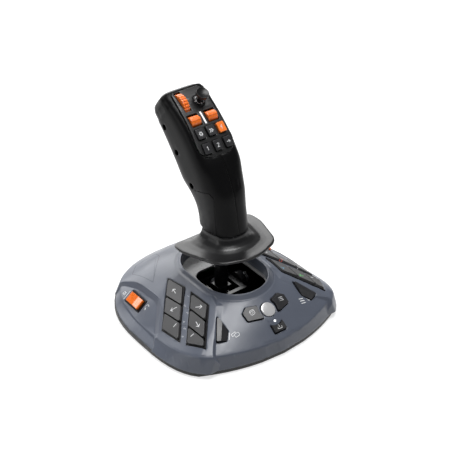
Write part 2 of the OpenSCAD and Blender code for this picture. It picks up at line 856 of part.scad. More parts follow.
module stick_shaft() {
    color(matte_black)
    difference() {
        union() {
            translate([-block_half, -block_half, pivot_z - block_half_h])
                cube([2 * block_half, 2 * block_half, 2 * block_half_h]);
            translate([0, 0, pivot_z])
                along_y(-ring_y + 0.4)
                    rod(roll_pin_d, 2 * ring_y - 0.8);
            translate([0, 0, pivot_z])
                rod(shaft_d, shaft_top - pivot_z);
            translate([0, 0, pivot_z - stub_low])
                rod(stub_d, stub_low);
        }
        translate([0, 0, pivot_z - stub_low - eps])
            rod(magnet_d, magnet_h);
        translate([0, 0, pivot_z + block_half_h + 2])
            rod(shaft_d - 5, shaft_top);
    }
}
module magnet() {
    color(silver)
    translate([0, 0, pivot_z - stub_low - eps])
        rod(magnet_d, magnet_h);
}
module sensor_board() {
    color(board_green)
    translate([-9, -7, mount_top])
        cube([18, 14, board_t]);
}
// Coil of round wire wound about the local Z axis, as one unbroken tube
coil_rings = 8;
wire_sides = 6;
function coil_at(j, r, pitch) =
    [r * cos(j * 360 / coil_rings), r * sin(j * 360 / coil_rings), pitch * j / coil_rings];
function coil_gap(r, wire_d, turns, pitch) =
    let (last = ceil(turns * coil_rings))
    min([for (j = [0 : last]) for (k = [j + ceil(coil_rings / 2) : 1 : last])
        norm(coil_at(k, r, pitch) - coil_at(j, r, pitch))]) - wire_d;
module coil(r, wire_d, turns, pitch) {
    lean = atan(pitch / (2 * PI * r));
    loft([for (j = [0 : ceil(turns * coil_rings)]) let (a = j * 360 / coil_rings, z = pitch * j / coil_rings)
        [for (i = [0 : wire_sides - 1]) let (b = -360 * i / wire_sides, u = r + wire_d / 2 * cos(b),
            v = wire_d / 2 * sin(b))
            [u * cos(a) + v * sin(lean) * sin(a), u * sin(a) - v * sin(lean) * cos(a), z + v * cos(lean)]]]);
}
spring_wire = 1;
spring_pitch = 1.5;
pitch_coil_r = 4.8;
roll_coil_r = 4.2;
pitch_turns = 3.5;
roll_turns = 3;
echo("least gap between curls of the pitch spring", coil_gap(pitch_coil_r, spring_wire, pitch_turns, spring_pitch));
echo("least gap between curls of the roll spring", coil_gap(roll_coil_r, spring_wire, roll_turns, spring_pitch));
module pitch_spring() {
    color(steel)
    translate([0, 0, pivot_z])
        along_x(mount_post_x + mount_post_t + spring_wire / 2)
            coil(pitch_coil_r, spring_wire, pitch_turns, spring_pitch);
}
module roll_spring() {
    color(steel)
    translate([0, 0, pivot_z])
        along_y(block_half + spring_wire / 2)
            coil(roll_coil_r, spring_wire, roll_turns, spring_pitch);
}

// Grip
// Stations from the seam up to the head: front point, rear point, half width and squareness
plate_mid = [26.9, 186.4];
plate_bow = 4;
plate_k = plate_len / 69;
plate_r = (plate_len * plate_len / 4 + plate_bow * plate_bow) / (2 * plate_bow);
along = [cos(plate_tilt), sin(plate_tilt)];
out = [-sin(plate_tilt), cos(plate_tilt)];
plate_axis = plate_mid - out * (plate_r - plate_bow);
function plate_angle(s) = (s - plate_len / 2) / plate_r * 180 / PI;
function on_arc(s, deep) = plate_axis + (plate_r - deep) * [-sin(plate_tilt - plate_angle(s)),
    cos(plate_tilt - plate_angle(s))];
function head_station(s, deep, half, nf) = [on_arc(s, 0.6), on_arc(s, 0.6) - out * deep, half, nf, head_sq];
seam_front = -27.5;
seam_rear = 18.5;
seam_n = 2.5;
rear_sq = 2.6;
head_sq = 3.2;
stations = [
    [[seam_front, seam_z], [seam_rear, seam_z], neck_half, seam_n, rear_sq],
    [[-25.3, 104.4], [19.3, 102.4], neck_half + 0.3, seam_n, rear_sq],
    [[-22.6, 117.4], [22.4, 112.4], neck_half + 1, seam_n, rear_sq],
    [[-19.5, 131.9], [27.6, 120], neck_half + 2, 2.7, 2.8],
    [[-12, 148], [31.4, 124.2], neck_half + 3.2, 3.2, 3],
    [[-5, 159.4], [33.6, 127.4], head_half - 0.4, 4, head_sq],
    head_station(6, 50.5, head_half, 4.6),
    head_station(20, 48.5, head_half, 5),
    head_station(plate_len / 2, 45.5, head_half, 5),
    head_station(52, 40.5, head_half, 5),
    head_station(plate_len - 2, 34, head_half, 5),
    head_station(plate_len + 2, 31, head_half - 1.2, 4.5)];
grip_n = 36;
function grip_ring(st, inset) =
    let (f = st[0], r = st[1], c = (f + r) / 2, e = unit(r - f), h = norm(r - f) / 2 - inset, w = st[2] - inset)
    [for (i = [0 : grip_n - 1]) let (t = 360 * i / grip_n, s = sin(t), n = s < 0 ? st[3] : st[4],
        p = c + e * h * power(s, n)) [w * power(cos(t), n), p[0], p[1]]];
function moved(ring, v) = [for (p = ring) p + v];
function cap_ring(inset) =
    let (st = stations[len(stations) - 1])
    moved(grip_ring(st, inset + 4), [0, along[0], along[1]] * (2.4 - inset * 0.9));
module grip_solid(inset, drop) {
    low = moved(grip_ring(stations[0], inset), [0, 0, -drop]);
    mids = [for (st = stations) grip_ring(st, inset)];
    loft(concat(drop > 0 ? [low] : [], mids, [cap_ring(inset)]));
}
plate_outline = [[9, 0], [14.5, 2.6], [18, 7], [18.8, 13], [18.2, 22], [17.2, 36], [16.6, 52], [15.4, plate_len - 3],
    [13.5, plate_len - 0.8]];
module plate_frame() {
    translate([0, plate_mid[0], plate_mid[1]])
        rotate([plate_tilt, 0, 0])
            children();
}
function plate_shape() =
    let (q = [for (p = plate_outline) [p[0], p[1] - plate_len / 2]]) concat(q, mirrored(q));
module plate_prism(z0, z1) {
    plate_frame()
        prism(plate_shape(), z0, z1);
}
// Place children on the bowed plate: local Z points out of the plate, local Y runs up the plate
module on_plate(x, s) {
    translate([0, plate_axis[0], plate_axis[1]])
        rotate([plate_tilt - plate_angle(s), 0, 0])
            translate([x, 0, plate_r])
                children();
}
module plate_drum(r) {
    translate([0, plate_axis[0], plate_axis[1]])
        along_x(-head_half * 2)
            cylinder(r = r, h = head_half * 4, $fn = 180);
}
insert_t = 1.6;
insert_pts = [[-16, seam_z - 1], [-12.5, 131.4], [-8, 135.4], [44, 122.4], [44, seam_z - 1]];
module insert_zone() {
    rotate([90, 0, 90])
        prism(insert_pts, -head_half * 2, head_half * 2);
}
grip_screw_at = [[52.9, 176.9], [34.5, 159.2], [14.5, 133.4]];
grip_post_d = 7;
grip_screw_d = 2.6;
grip_head_d = 5;
grip_head_x = 15;
module at_grip_screws() {
    for (p = grip_screw_at)
        translate([0, p[0], p[1]])
            children();
}
module half_space(side) {
    translate([side > 0 ? 0 : -base_w, -base_d, 0])
        cube([base_w, base_d * 2, base_d * 2]);
}
module grip_half(side) {
    difference() {
        intersection() {
            union() {
                difference() {
                    grip_solid(0, 0);
                    grip_solid(grip_wall, 2);
                }
                intersection() {
                    grip_solid(0, 0);
                    at_grip_screws()
                        along_x(-head_half)
                            rod(grip_post_d, head_half * 2);
                }
            }
            half_space(side);
        }
        plate_prism(-4, 14);
        difference() {
            insert_zone();
            grip_solid(insert_t, 3);
        }
        at_grip_screws() {
            along_x(-grip_head_x)
                rod(grip_screw_d + 0.2, grip_head_x + 9);
            along_x(-head_half * 2)
                rod(grip_head_d + 0.6, head_half * 2 - grip_head_x);
        }
    }
}
module grip_left() {
    color(matte_black)
    grip_half(-1);
}
module grip_right() {
    color(matte_black)
    grip_half(1);
}
module palm_insert() {
    color(matte_black)
    intersection() {
        difference() {
            grip_solid(0, 0);
            grip_solid(insert_t, 3);
        }
        insert_zone();
    }
}
module grip_screws() {
    color(steel)
    at_grip_screws()
        difference() {
            union() {
                along_x(-grip_head_x - 2)
                    rod(grip_head_d, 2);
                along_x(-grip_head_x)
                    rod(grip_screw_d, grip_head_x + 8);
            }
            along_x(-grip_head_x - 2 - eps)
                cylinder(d = 2.4, h = 1.2, $fn = 6);
        }
}

// Hand rest: a bell that spreads from the grip to a shield-shaped edge
rest_pts = [[-33, -41], [0, -54], [33, -41], [45.5, -2], [44.5, 15.5], [-44.5, 15.5], [-45.5, -2]];
rest_round = [20, 60, 20, 40, 6, 6, 40];
rest_tilt = 0.065;
rest_edge = 3.6;
seam_mid = (seam_front + seam_rear) / 2;
seam_deep = (seam_rear - seam_front) / 2;
rest_plan = rounded(rest_pts, rest_round, 8);
function oval_pt(q) =
    let (d = q - [0, seam_mid], t = atan2(d[1], d[0]), n = d[1] < 0 ? seam_n : rear_sq,
        r = 1 / pow(pow(abs(cos(t)) / neck_half, n) + pow(abs(sin(t)) / seam_deep, n), 1 / n))
    [0, seam_mid] + r * [cos(t), sin(t)];
function edge_z(y) = rest_z + rest_tilt * (rest_pts[4][1] - y);
// f runs from 0 at the edge to 1 at the seam
function rest_ring(f, rise, shrink) =
    [for (q = rest_plan) let (c = [0, seam_mid], e = c + (q - c) * (1 - shrink), o = oval_pt(q),
        p = blend(e, o, f)) [p[0], p[1], edge_z(p[1]) * (1 - rise) + seam_z * rise]];
function rest_low(shrink, drop) = [for (q = rest_plan) let (c = [0, seam_mid], e = c + (q - c) * (1 - shrink))
    [e[0], e[1], edge_z(e[1]) - drop]];
module rest_bell() {
    loft([rest_low(0.05, rest_edge), rest_low(0.012, rest_edge * 0.75), rest_low(0, rest_edge * 0.4),
        rest_low(0.015, 0), rest_ring(0.3, 0.01, 0), rest_ring(0.55, 0.06, 0), rest_ring(0.75, 0.2, 0),
        rest_ring(0.9, 0.46, 0), rest_ring(0.975, 0.74, 0), rest_ring(1, 1, 0)]);
}
module rest_hollow() {
    translate([0, 0, -rest_edge + 0.6])
        loft([rest_low(0.12, 3), rest_low(0.12, 0), rest_ring(0.55, 0.03, 0), rest_ring(0.8, 0.15, 0),
            rest_ring(1, 0.4, 0)]);
}
module hand_rest() {
    color(matte_black)
    difference() {
        rest_bell();
        difference() {
            rest_hollow();
            translate([0, 0, rest_z - 10])
                rod(rest_hub_d, 40);
        }
        translate([0, 0, rest_z - 20])
            rod(shaft_d + 2 * pivot_fit, 60);
    }
}

// Face plate and the controls on it
// Sizes along the plate grow and shrink with it
wheel_size = wheel_r * plate_k;
roller_size = roller_r * plate_k;
button_long = button_len * plate_k;
col_x = 11.3;
row_s = [22.4 * plate_k, 8.3 * plate_k];
wheel_x = -9.5;
wheel_s = 57 * plate_k;
wheel_w = 5.6;
wheel_deep = 7 * plate_k;
roller_x = 9;
roller_s = 36.2 * plate_k;
roller_w = 10;
roller_deep = 3.2 * plate_k;
pin_d = 3;
cheek_t = 1.5;
cheek_gap = 0.5;
thumb_x = 6;
thumb_s = 53 * plate_k;
thumb_deep = 6 * plate_k;
dome_r = 8 * plate_k;
dome_t = 1.4;
dome_low = 3.4 * plate_k;
dome_gap = 0.4;
cup_r = 10.2 * plate_k;
cup_wall = 1.6;
cup_deep = 10.8 * plate_k;
cup_floor = 1.2;
thumb_pin_d = 1.4;
thumb_ring_r = 5.6 * plate_k;
thumb_ring_in = 3.3 * plate_k;
thumb_ring_h = 2.4;
thumb_ball_r = 2.6 * plate_k;
bar_w = 1.6;
bar_len = 12.4 * plate_k;
bar_s = 36.2 * plate_k;
deck_drop = 9;
deck_post_d = 2.4;
deck_s = 15.35 * plate_k;
module face_sheet() {
    intersection() {
        difference() {
            plate_drum(plate_r);
            plate_drum(plate_r - plate_t);
        }
        plate_prism(-8, 20);
    }
}
module cheek(x, s, deep, r) {
    on_plate(x, s)
        translate([-cheek_t / 2, -r, -deep - r])
            cube([cheek_t, 2 * r, deep + r - plate_t / 2]);
}
module face_plate() {
    color(plate_grey)
    difference() {
        union() {
            face_sheet();
            for (k = [-1, 1])
                cheek(wheel_x + k * (wheel_w / 2 + cheek_gap + cheek_t / 2), wheel_s, wheel_deep, 3);
            for (x = [-roller_x, roller_x])
                for (k = [-1, 1])
                    cheek(x + k * (roller_w / 2 + cheek_gap + cheek_t / 2), roller_s, roller_deep, 3);
            for (x = [-col_x / 2, col_x / 2])
                on_plate(x, deck_s)
                    translate([0, 0, -deck_drop])
                        rod(deck_post_d, deck_drop - plate_t / 2);
        }
        for (x = [-col_x, 0, col_x])
            for (s = row_s)
                on_plate(x, s)
                    prism(rounded(box_pts(button_w + 2 * key_gap, button_long + 2 * key_gap), 1.4), -plate_t - 1, 4);
        on_plate(wheel_x, wheel_s)
            prism(box_pts(wheel_w + 2 * cheek_gap, 2 * sqrt(wheel_size * wheel_size - 16) + 1.2), -plate_t - 1, 4);
        for (x = [-roller_x, roller_x])
            on_plate(x, roller_s)
                prism(box_pts(roller_w + 2 * cheek_gap, 2 * (roller_size + rib_h) + 0.8), -plate_t - 1, 4);
        on_plate(thumb_x, thumb_s)
            translate([0, 0, -thumb_deep])
                sphere(r = dome_r + dome_gap);
        on_plate(0, bar_s)
            prism(box_pts(bar_w, bar_len), -plate_t - 1, 4);
        on_plate(wheel_x, wheel_s)
            translate([-wheel_w * 2, 0, -wheel_deep])
                rotate([0, 90, 0])
                    rod(pin_d + 2 * pivot_fit, wheel_w * 4);
        on_plate(0, roller_s)
            translate([-head_half, 0, -roller_deep])
                rotate([0, 90, 0])
                    rod(pin_d + 2 * pivot_fit, head_half * 2);
    }
}
module scroll_wheel() {
    color(orange)
    on_plate(wheel_x, wheel_s)
        translate([0, 0, -wheel_deep]) {
            difference() {
                along_x(-wheel_w / 2)
                    cylinder(r = wheel_size, h = wheel_w, $fn = 64);
                for (a = [0 : 15 : 345])
                    rotate([a, 0, 0])
                        translate([-wheel_w, -0.5, wheel_size - 0.7])
                            cube([wheel_w * 2, 1, 2]);
            }
            along_x(-wheel_w / 2 - cheek_gap - cheek_t)
                rod(pin_d, wheel_w + 2 * (cheek_gap + cheek_t));
        }
}
rib_w = 2.4;
rib_h = 0.5;
module roller(x) {
    color(orange)
    on_plate(x, roller_s)
        translate([0, 0, -roller_deep]) {
            along_x(-roller_w / 2)
                cylinder(r = roller_size, h = roller_w, $fn = 64);
            translate([-roller_w / 2, -rib_w / 2, roller_size - 1])
                cube([roller_w, rib_w, 1 + rib_h]);
            along_x(-roller_w / 2 - cheek_gap - cheek_t)
                rod(pin_d, roller_w + 2 * (cheek_gap + cheek_t));
        }
}
module roller_left() {
    roller(-roller_x);
}
module roller_right() {
    roller(roller_x);
}
module at_thumb(z) {
    on_plate(thumb_x, thumb_s)
        translate([0, 0, z])
            children();
}
module thumb_base() {
    color(matte_black)
    difference() {
        at_thumb(-cup_deep)
            cylinder(r = cup_r, h = cup_deep + 1);
        at_thumb(-cup_deep + cup_floor)
            cylinder(r = cup_r - cup_wall, h = cup_deep + 4);
        difference() {
            plate_drum(plate_r + 20);
            plate_drum(plate_r - plate_t);
        }
        at_thumb(-thumb_deep)
            along_x(-cup_r - 1)
                rod(thumb_pin_d + 2 * pivot_fit, 2 * cup_r + 2);
    }
}
module thumb_ring() {
    color(steel)
    at_thumb(-thumb_deep) {
        difference() {
            translate([0, 0, -thumb_ring_h / 2])
                rod(2 * thumb_ring_r, thumb_ring_h);
            translate([0, 0, -thumb_ring_h])
                rod(2 * thumb_ring_in, 2 * thumb_ring_h);
            along_y(-thumb_ring_r - 1)
                rod(thumb_pin_d + 2 * pivot_fit, 2 * thumb_ring_r + 2);
        }
        both_sides()
            along_x(thumb_ring_r - 0.4)
                rod(thumb_pin_d, cup_r - cup_wall / 2 - thumb_ring_r + 0.4);
    }
}
thumb_cap_z = 8.5;
thumb_cap_t = 3;
thumb_post_d = 5;
module thumb_stick() {
    color(matte_black) {
        at_thumb(-thumb_deep) {
            difference() {
                sphere(r = dome_r);
                sphere(r = dome_r - dome_t);
                translate([-dome_r * 2, -dome_r * 2, dome_low - dome_r * 2])
                    cube([dome_r * 4, dome_r * 4, dome_r * 2]);
            }
            sphere(r = thumb_ball_r);
            rod(3, dome_r - dome_t / 2);
            along_y(-thumb_ring_r + 0.3)
                rod(thumb_pin_d, 2 * thumb_ring_r - 0.6);
        }
        at_thumb(dome_r - thumb_deep - dome_t / 2)
            rod(thumb_post_d, thumb_cap_z + 1 - dome_r + thumb_deep + dome_t / 2);
        difference() {
            at_thumb(thumb_cap_z)
                rod(cap_d, thumb_cap_t);
            at_thumb(thumb_cap_z + thumb_cap_t + cap_d * 1.1)
                sphere(r = cap_d * 1.2);
        }
    }
}
module light_bar() {
    color(white)
    on_plate(0, bar_s)
        prism(box_pts(bar_w, bar_len), -plate_t, 0.4);
}
button_stem = 4.5;
module head_button(x, s, paint) {
    color(paint)
    on_plate(x, s) {
        prism(rounded(box_pts(button_w, button_long), 1.2), -button_stem + 1, button_rise);
        translate([0, 0, -button_stem])
            rod(4, 2);
    }
}
module head_button_1() {
    head_button(-col_x, row_s[0], key_grey);
}
module head_button_2() {
    head_button(0, row_s[0], key_grey);
}
module head_button_3() {
    head_button(col_x, row_s[0], orange);
}
module head_button_4() {
    head_button(-col_x, row_s[1], key_grey);
}
module head_button_5() {
    head_button(0, row_s[1], key_grey);
}
module head_button_6() {
    head_button(col_x, row_s[1], key_grey);
}
switch_w = 6;
switch_h = 3;
module head_board() {
    color(board_green)
    on_plate(0, deck_s) {
        translate([-16, -13.5 * plate_k, -deck_drop - board_t])
            cube([32, 27 * plate_k, board_t]);
        for (x = [-col_x, 0, col_x])
            for (s = row_s)
                translate([x - switch_w / 2, s - deck_s - switch_w / 2, -deck_drop - eps])
                    cube([switch_w, switch_w, switch_h + eps]);
    }
}

base_shell();
bottom_cover();
rubber_feet();
case_screws();
key_tray_left();
key_tray_right();
gate_plate();
gimbal_mount();
main_board();
sensor_board();
front_board();
cable_inlet();
status_light();
key_l1();
key_l2();
key_l3();
key_l4();
key_l5();
key_l6();
key_r1();
key_r2();
key_r3();
key_r4();
key_r5();
key_r6();
home_button();
page_button_left();
page_button_right();
lower_button();
wedge_button_left();
wedge_button_right();
rocker_left();
rocker_right();
rocker_frame_left();
rocker_frame_right();
gimbal_ring();
stick_shaft();
pitch_spring();
roll_spring();
magnet();
hand_rest();
grip_left();
grip_right();
palm_insert();
face_plate();
grip_screws();
scroll_wheel();
thumb_base();
thumb_ring();
thumb_stick();
roller_left();
roller_right();
light_bar();
head_button_1();
head_button_2();
head_button_3();
head_button_4();
head_button_5();
head_button_6();
head_board();
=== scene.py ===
"""Looks of a desktop joystick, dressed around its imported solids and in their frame.

Meshes are in metres. Shapes and marks are drawn in millimetres and brought to metres by MM.
"""
import json
import math

import bmesh
import bpy
from mathutils import Matrix, Vector
from mathutils.bvhtree import BVHTree


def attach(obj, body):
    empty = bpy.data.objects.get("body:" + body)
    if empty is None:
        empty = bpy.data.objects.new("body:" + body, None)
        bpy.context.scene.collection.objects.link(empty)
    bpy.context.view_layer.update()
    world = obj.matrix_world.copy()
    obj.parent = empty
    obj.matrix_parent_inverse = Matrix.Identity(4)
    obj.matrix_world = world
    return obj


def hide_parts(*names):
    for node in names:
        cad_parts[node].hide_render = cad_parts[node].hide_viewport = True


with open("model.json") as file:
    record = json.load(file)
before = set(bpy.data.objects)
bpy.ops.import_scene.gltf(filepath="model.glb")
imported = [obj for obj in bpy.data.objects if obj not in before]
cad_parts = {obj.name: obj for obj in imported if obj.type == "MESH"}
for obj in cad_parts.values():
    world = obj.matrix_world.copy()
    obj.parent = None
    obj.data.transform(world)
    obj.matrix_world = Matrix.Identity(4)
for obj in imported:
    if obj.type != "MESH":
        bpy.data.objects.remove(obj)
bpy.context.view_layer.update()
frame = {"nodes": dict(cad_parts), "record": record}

NODES = frame["nodes"]
BODY_OF = {n: b for b, members in frame["record"]["behaviour"]["bodies"].items() for n in members}
MM = 0.001
scene = bpy.context.scene
scene.view_settings.view_transform = "Standard"


# Materials

class Paint:
    """One procedural material: a Principled shader with nodes that feed it."""

    def __init__(self, name, colour, rough, metal=0.0, spec=0.5):
        self.mat = bpy.data.materials.new(name)
        self.mat.use_nodes = True
        self.tree = self.mat.node_tree
        self.tree.nodes.clear()
        out = self.add("OutputMaterial")
        self.bsdf = self.add("BsdfPrincipled")
        self.link(self.bsdf.outputs["BSDF"], out.inputs["Surface"])
        self.coord = self.add("TexCoord").outputs["Object"]
        self.colour = colour
        self.set("Base Color", (*colour, 1))
        self.set("Roughness", rough)
        self.set("Metallic", metal)
        self.set("Specular IOR Level", spec)
        self.mat.diffuse_color = (*colour, 1)

    def add(self, kind):
        return self.tree.nodes.new("ShaderNode" + kind)

    def link(self, a, b):
        self.tree.links.new(a, b)

    def set(self, socket, value):
        self.bsdf.inputs[socket].default_value = value

    def noise(self, size, detail=2.0, stretch=None):
        node = self.add("TexNoise")
        node.inputs["Scale"].default_value = 1 / size
        node.inputs["Detail"].default_value = detail
        at = self.coord
        if stretch:
            scale = self.add("Mapping")
            scale.inputs["Scale"].default_value = stretch
            self.link(at, scale.inputs["Vector"])
            at = scale.outputs["Vector"]
        self.link(at, node.inputs["Vector"])
        return node.outputs["Fac"]

    def cells(self, size, feature="F1"):
        node = self.add("TexVoronoi")
        node.feature = feature
        node.inputs["Scale"].default_value = 1 / size
        self.link(self.coord, node.inputs["Vector"])
        return node.outputs["Distance"]

    def span(self, value, low, high, start=0.3, end=0.7):
        node = self.add("MapRange")
        node.inputs["From Min"].default_value = start
        node.inputs["From Max"].default_value = end
        node.inputs["To Min"].default_value = low
        node.inputs["To Max"].default_value = high
        self.link(value, node.inputs["Value"])
        return node.outputs["Result"]

    def mixed(self, fac, a, b):
        node = self.add("Mix")
        node.data_type = "RGBA"
        self.link(fac, node.inputs["Factor"])
        for socket, value in ((node.inputs["A"], a), (node.inputs["B"], b)):
            self.feed(socket, value)
        return node.outputs["Result"]

    def feed(self, socket, value):
        if isinstance(value, tuple):
            socket.default_value = (*value, 1)
        else:
            self.link(value, socket)

    def tones(self, size, spread):
        """Slow drift of the colour over the surface."""
        dark = tuple(c * (1 - spread) for c in self.colour)
        light = tuple(c * (1 + spread) for c in self.colour)
        fac = self.span(self.noise(size, 3.0), 0.0, 1.0)
        self.paint(self.mixed(fac, dark, light))

    def paint(self, socket):
        self.top = socket
        self.link(socket, self.bsdf.inputs["Base Color"])

    def painted_edge_highlight(self, colour, start=0.52, end=0.6, most=0.55):
        """Painted highlight: the sharp edges turn toward a lighter colour."""
        pointed = self.add("NewGeometry").outputs["Pointiness"]
        self.paint(self.mixed(self.span(pointed, 0.0, most, start, end), self.top, colour))

    def shine(self, rough, spread, size):
        """Slow drift of the roughness over the surface."""
        fac = self.noise(size, 3.0)
        self.link(self.span(fac, rough - spread, rough + spread), self.bsdf.inputs["Roughness"])

    def bump(self, heights):
        """heights: (socket, depth in metres), laid over each other."""
        normal = None
        for value, depth in heights:
            node = self.add("Bump")
            node.inputs["Strength"].default_value = 1.0
            node.inputs["Distance"].default_value = depth
            self.link(value, node.inputs["Height"])
            if normal:
                self.link(normal, node.inputs["Normal"])
            normal = node.outputs["Normal"]
        self.link(normal, self.bsdf.inputs["Normal"])


# Sizes of the slow changes over a moulded surface
COLOUR_DRIFT, SHINE_DRIFT, WAVE = 24 * MM, 9 * MM, 6 * MM


def moulded_plastic(name, colour, rough, grain=0.45, depth=0.012, spread=0.05, edge=None, spec=0.5,
                    patchy=0.05):
    """Injection-moulded plastic with a spark-eroded grain. Grain and depth are in millimetres."""
    p = Paint(name, colour, rough, spec=spec)
    p.tones(COLOUR_DRIFT, spread)
    # Painted highlight: a lighter edge colour laid on the sharp edges
    if edge:
        p.painted_edge_highlight(edge)
    p.shine(rough, patchy, SHINE_DRIFT)
    p.bump([(p.noise(grain * MM, 2.0), depth * MM), (p.noise(WAVE, 1.0), depth * MM)])
    return p


# Where a lighter colour follows the drift, it is painted on the sharp edges as a highlight
SLATE = moulded_plastic("slate_casing", (0.098, 0.111, 0.143), 0.33, 0.5, 0.008, 0.04, (0.15, 0.165, 0.2),
                        0.55, 0.03)
GROOVE = moulded_plastic("slate_groove", (0.06, 0.068, 0.088), 0.5)
KEY = moulded_plastic("key_grey", (0.06, 0.06, 0.062), 0.42, 0.4, 0.014, 0.06, (0.12, 0.12, 0.122))
TRAY = moulded_plastic("tray_black", (0.006, 0.006, 0.007), 0.4, spec=0.3)
DARK = moulded_plastic("button_black", (0.017, 0.017, 0.019), 0.36, 0.4, 0.012, 0.08, (0.05, 0.05, 0.052))
GATE = moulded_plastic("gate_grey", (0.3, 0.3, 0.303), 0.28)
GLOSS = moulded_plastic("gimbal_black", (0.008, 0.008, 0.009), 0.22, 0.8, 0.004)
GRIP = moulded_plastic("grip_black", (0.005, 0.005, 0.0053), 0.31, 0.35, 0.006, 0.1, (0.012, 0.012, 0.012),
                       0.1, 0.03)
PLATE = moulded_plastic("plate_black", (0.016, 0.016, 0.0165), 0.36, 0.35, 0.008, 0.06,
                        spec=0.4, patchy=0.03)
REST = moulded_plastic("hand_rest_grey", (0.011, 0.011, 0.0115), 0.3, 0.5, 0.003, 0.06, (0.02, 0.02, 0.02),
                       0.42, 0.015)
COVER = moulded_plastic("cover_black", (0.006, 0.006, 0.006), 0.5, 0.8, 0.03)
THUMB = moulded_plastic("thumb_black", (0.009, 0.009, 0.0095), 0.3, 0.5, 0.01, 0.08, (0.03, 0.03, 0.03),
                        0.3, 0.03)


def make_insert():
    """Soft-touch panel with a fine pebbled grain."""
    p = Paint("insert_black", (0.006, 0.006, 0.0064), 0.42, spec=0.16)
    p.tones(18 * MM, 0.12)
    p.shine(0.42, 0.06, 5 * MM)
    p.bump([(p.cells(0.85 * MM), 0.05 * MM), (p.noise(0.3 * MM), 0.01 * MM)])
    return p


def make_orange():
    p = Paint("orange_satin", (0.95, 0.185, 0.014), 0.28, spec=0.7)
    p.tones(7 * MM, 0.06)
    # Painted highlight: sharp edges lighter and yellower orange
    p.painted_edge_highlight((1.0, 0.36, 0.07), 0.51, 0.6)
    p.shine(0.28, 0.04, 4 * MM)
    p.bump([(p.noise(0.4 * MM), 0.008 * MM)])
    p.set("Coat Weight", 0.4)
    p.set("Coat Roughness", 0.2)
    return p


def make_metal(name, colour, rough, stretch):
    p = Paint(name, colour, rough, metal=1.0)
    p.tones(5 * MM, 0.06)
    p.shine(rough, 0.07, 3 * MM)
    p.bump([(p.noise(0.5 * MM, 2.0, stretch), 0.006 * MM)])
    return p


def make_silver():
    """Bright painted cap under a clear coat."""
    p = Paint("silver_cap", (0.66, 0.66, 0.665), 0.22, metal=0.35)
    p.tones(4 * MM, 0.03)
    p.shine(0.22, 0.04, 3 * MM)
    p.bump([(p.noise(0.3 * MM), 0.003 * MM)])
    p.set("Coat Weight", 0.6)
    p.set("Coat Roughness", 0.06)
    return p


def make_light(name, glow):
    p = Paint(name, (0.86, 0.87, 0.88), 0.3)
    p.tones(3 * MM, 0.03)
    p.shine(0.3, 0.04, 2 * MM)
    p.set("Emission Color", (0.95, 0.97, 1.0, 1))
    p.set("Emission Strength", glow)
    return p


def make_board():
    p = Paint("board_green", (0.02, 0.12, 0.05), 0.35)
    p.tones(3 * MM, 0.25)
    track = p.span(p.cells(2.6 * MM, "DISTANCE_TO_EDGE"), 1.0, 0.0, 0.03, 0.06)
    p.paint(p.mixed(track, p.top, (0.06, 0.22, 0.1)))
    p.shine(0.35, 0.05, 4 * MM)
    p.bump([(track, 0.03 * MM)])
    return p


def make_rubber():
    p = Paint("rubber_black", (0.011, 0.011, 0.011), 0.75, spec=0.3)
    p.tones(6 * MM, 0.15)
    p.shine(0.75, 0.06, 3 * MM)
    p.bump([(p.cells(0.7 * MM), 0.05 * MM)])
    return p


def make_ink(name, colour):
    """Printed mark: thin paint with a faint unevenness."""
    p = Paint(name, colour, 0.5)
    p.tones(1.5 * MM, 0.05)
    p.shine(0.5, 0.05, 1 * MM)
    p.bump([(p.noise(0.25 * MM), 0.004 * MM)])
    return p


INSERT = make_insert()
ORANGE = make_orange()
STEEL = make_metal("bright_steel", (0.58, 0.58, 0.6), 0.3, (1, 1, 12))
OXIDE = make_metal("dark_oxide", (0.09, 0.09, 0.095), 0.36, (1, 1, 1))
SILVER = make_silver()
LED = make_light("status_white", 0.9)
BAR = make_light("bar_white", 0.25)
BOARD = make_board()
RUBBER = make_rubber()
WHITE_INK = make_ink("ink_white", (0.72, 0.73, 0.74))
GREY_INK = make_ink("ink_grey", (0.42, 0.43, 0.45))
BLUE_INK = make_ink("ink_blue", (0.14, 0.42, 0.62))
GREEN_INK = make_ink("ink_green", (0.12, 0.5, 0.14))
RED_INK = make_ink("ink_red", (0.62, 0.12, 0.09))


# Pieces made from the solids

# Points nearer than WELD are one point, and faces that turn less than FLAT are one face
WELD = 2e-6
FLAT = math.radians(0.8)


def welded(node):
    """The solid's mesh with its loose triangles joined."""
    bm = bmesh.new()
    bm.from_mesh(NODES[node].data)
    bmesh.ops.remove_doubles(bm, verts=bm.verts, dist=WELD)
    bmesh.ops.recalc_face_normals(bm, faces=bm.faces)
    return bm


def as_object(name, bm):
    mesh = bpy.data.meshes.new(name)
    bm.to_mesh(mesh)
    bm.free()
    obj = bpy.data.objects.new(name, mesh)
    scene.collection.objects.link(obj)
    return obj


def dress(obj, paint, body, node=None):
    """Gives a piece its finish and the body it rides on, and hides the solid it stands for."""
    obj.data.materials.clear()
    obj.data.materials.append(paint.mat)
    obj.data.shade_smooth()
    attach(obj, body)
    if node:
        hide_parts(node)
    return obj


def settled(obj):
    """The object with its modifiers worked into its mesh."""
    shown = obj.evaluated_get(bpy.context.evaluated_depsgraph_get())
    mesh = bpy.data.meshes.new_from_object(shown)
    old = obj.data
    obj.modifiers.clear()
    obj.data = mesh
    bpy.data.meshes.remove(old)
    return obj


def even_normals(obj):
    """Flat faces keep their own direction, and the rounded edges between them turn smoothly."""
    obj.modifiers.new("even", "WEIGHTED_NORMAL").weight = 90
    return obj


def clamp(value):
    return min(max(value, 0.0), 1.0)


def power(c, n):
    """Sine or cosine of a rounded square of squareness n."""
    return math.copysign(abs(c) ** (2 / n), c)


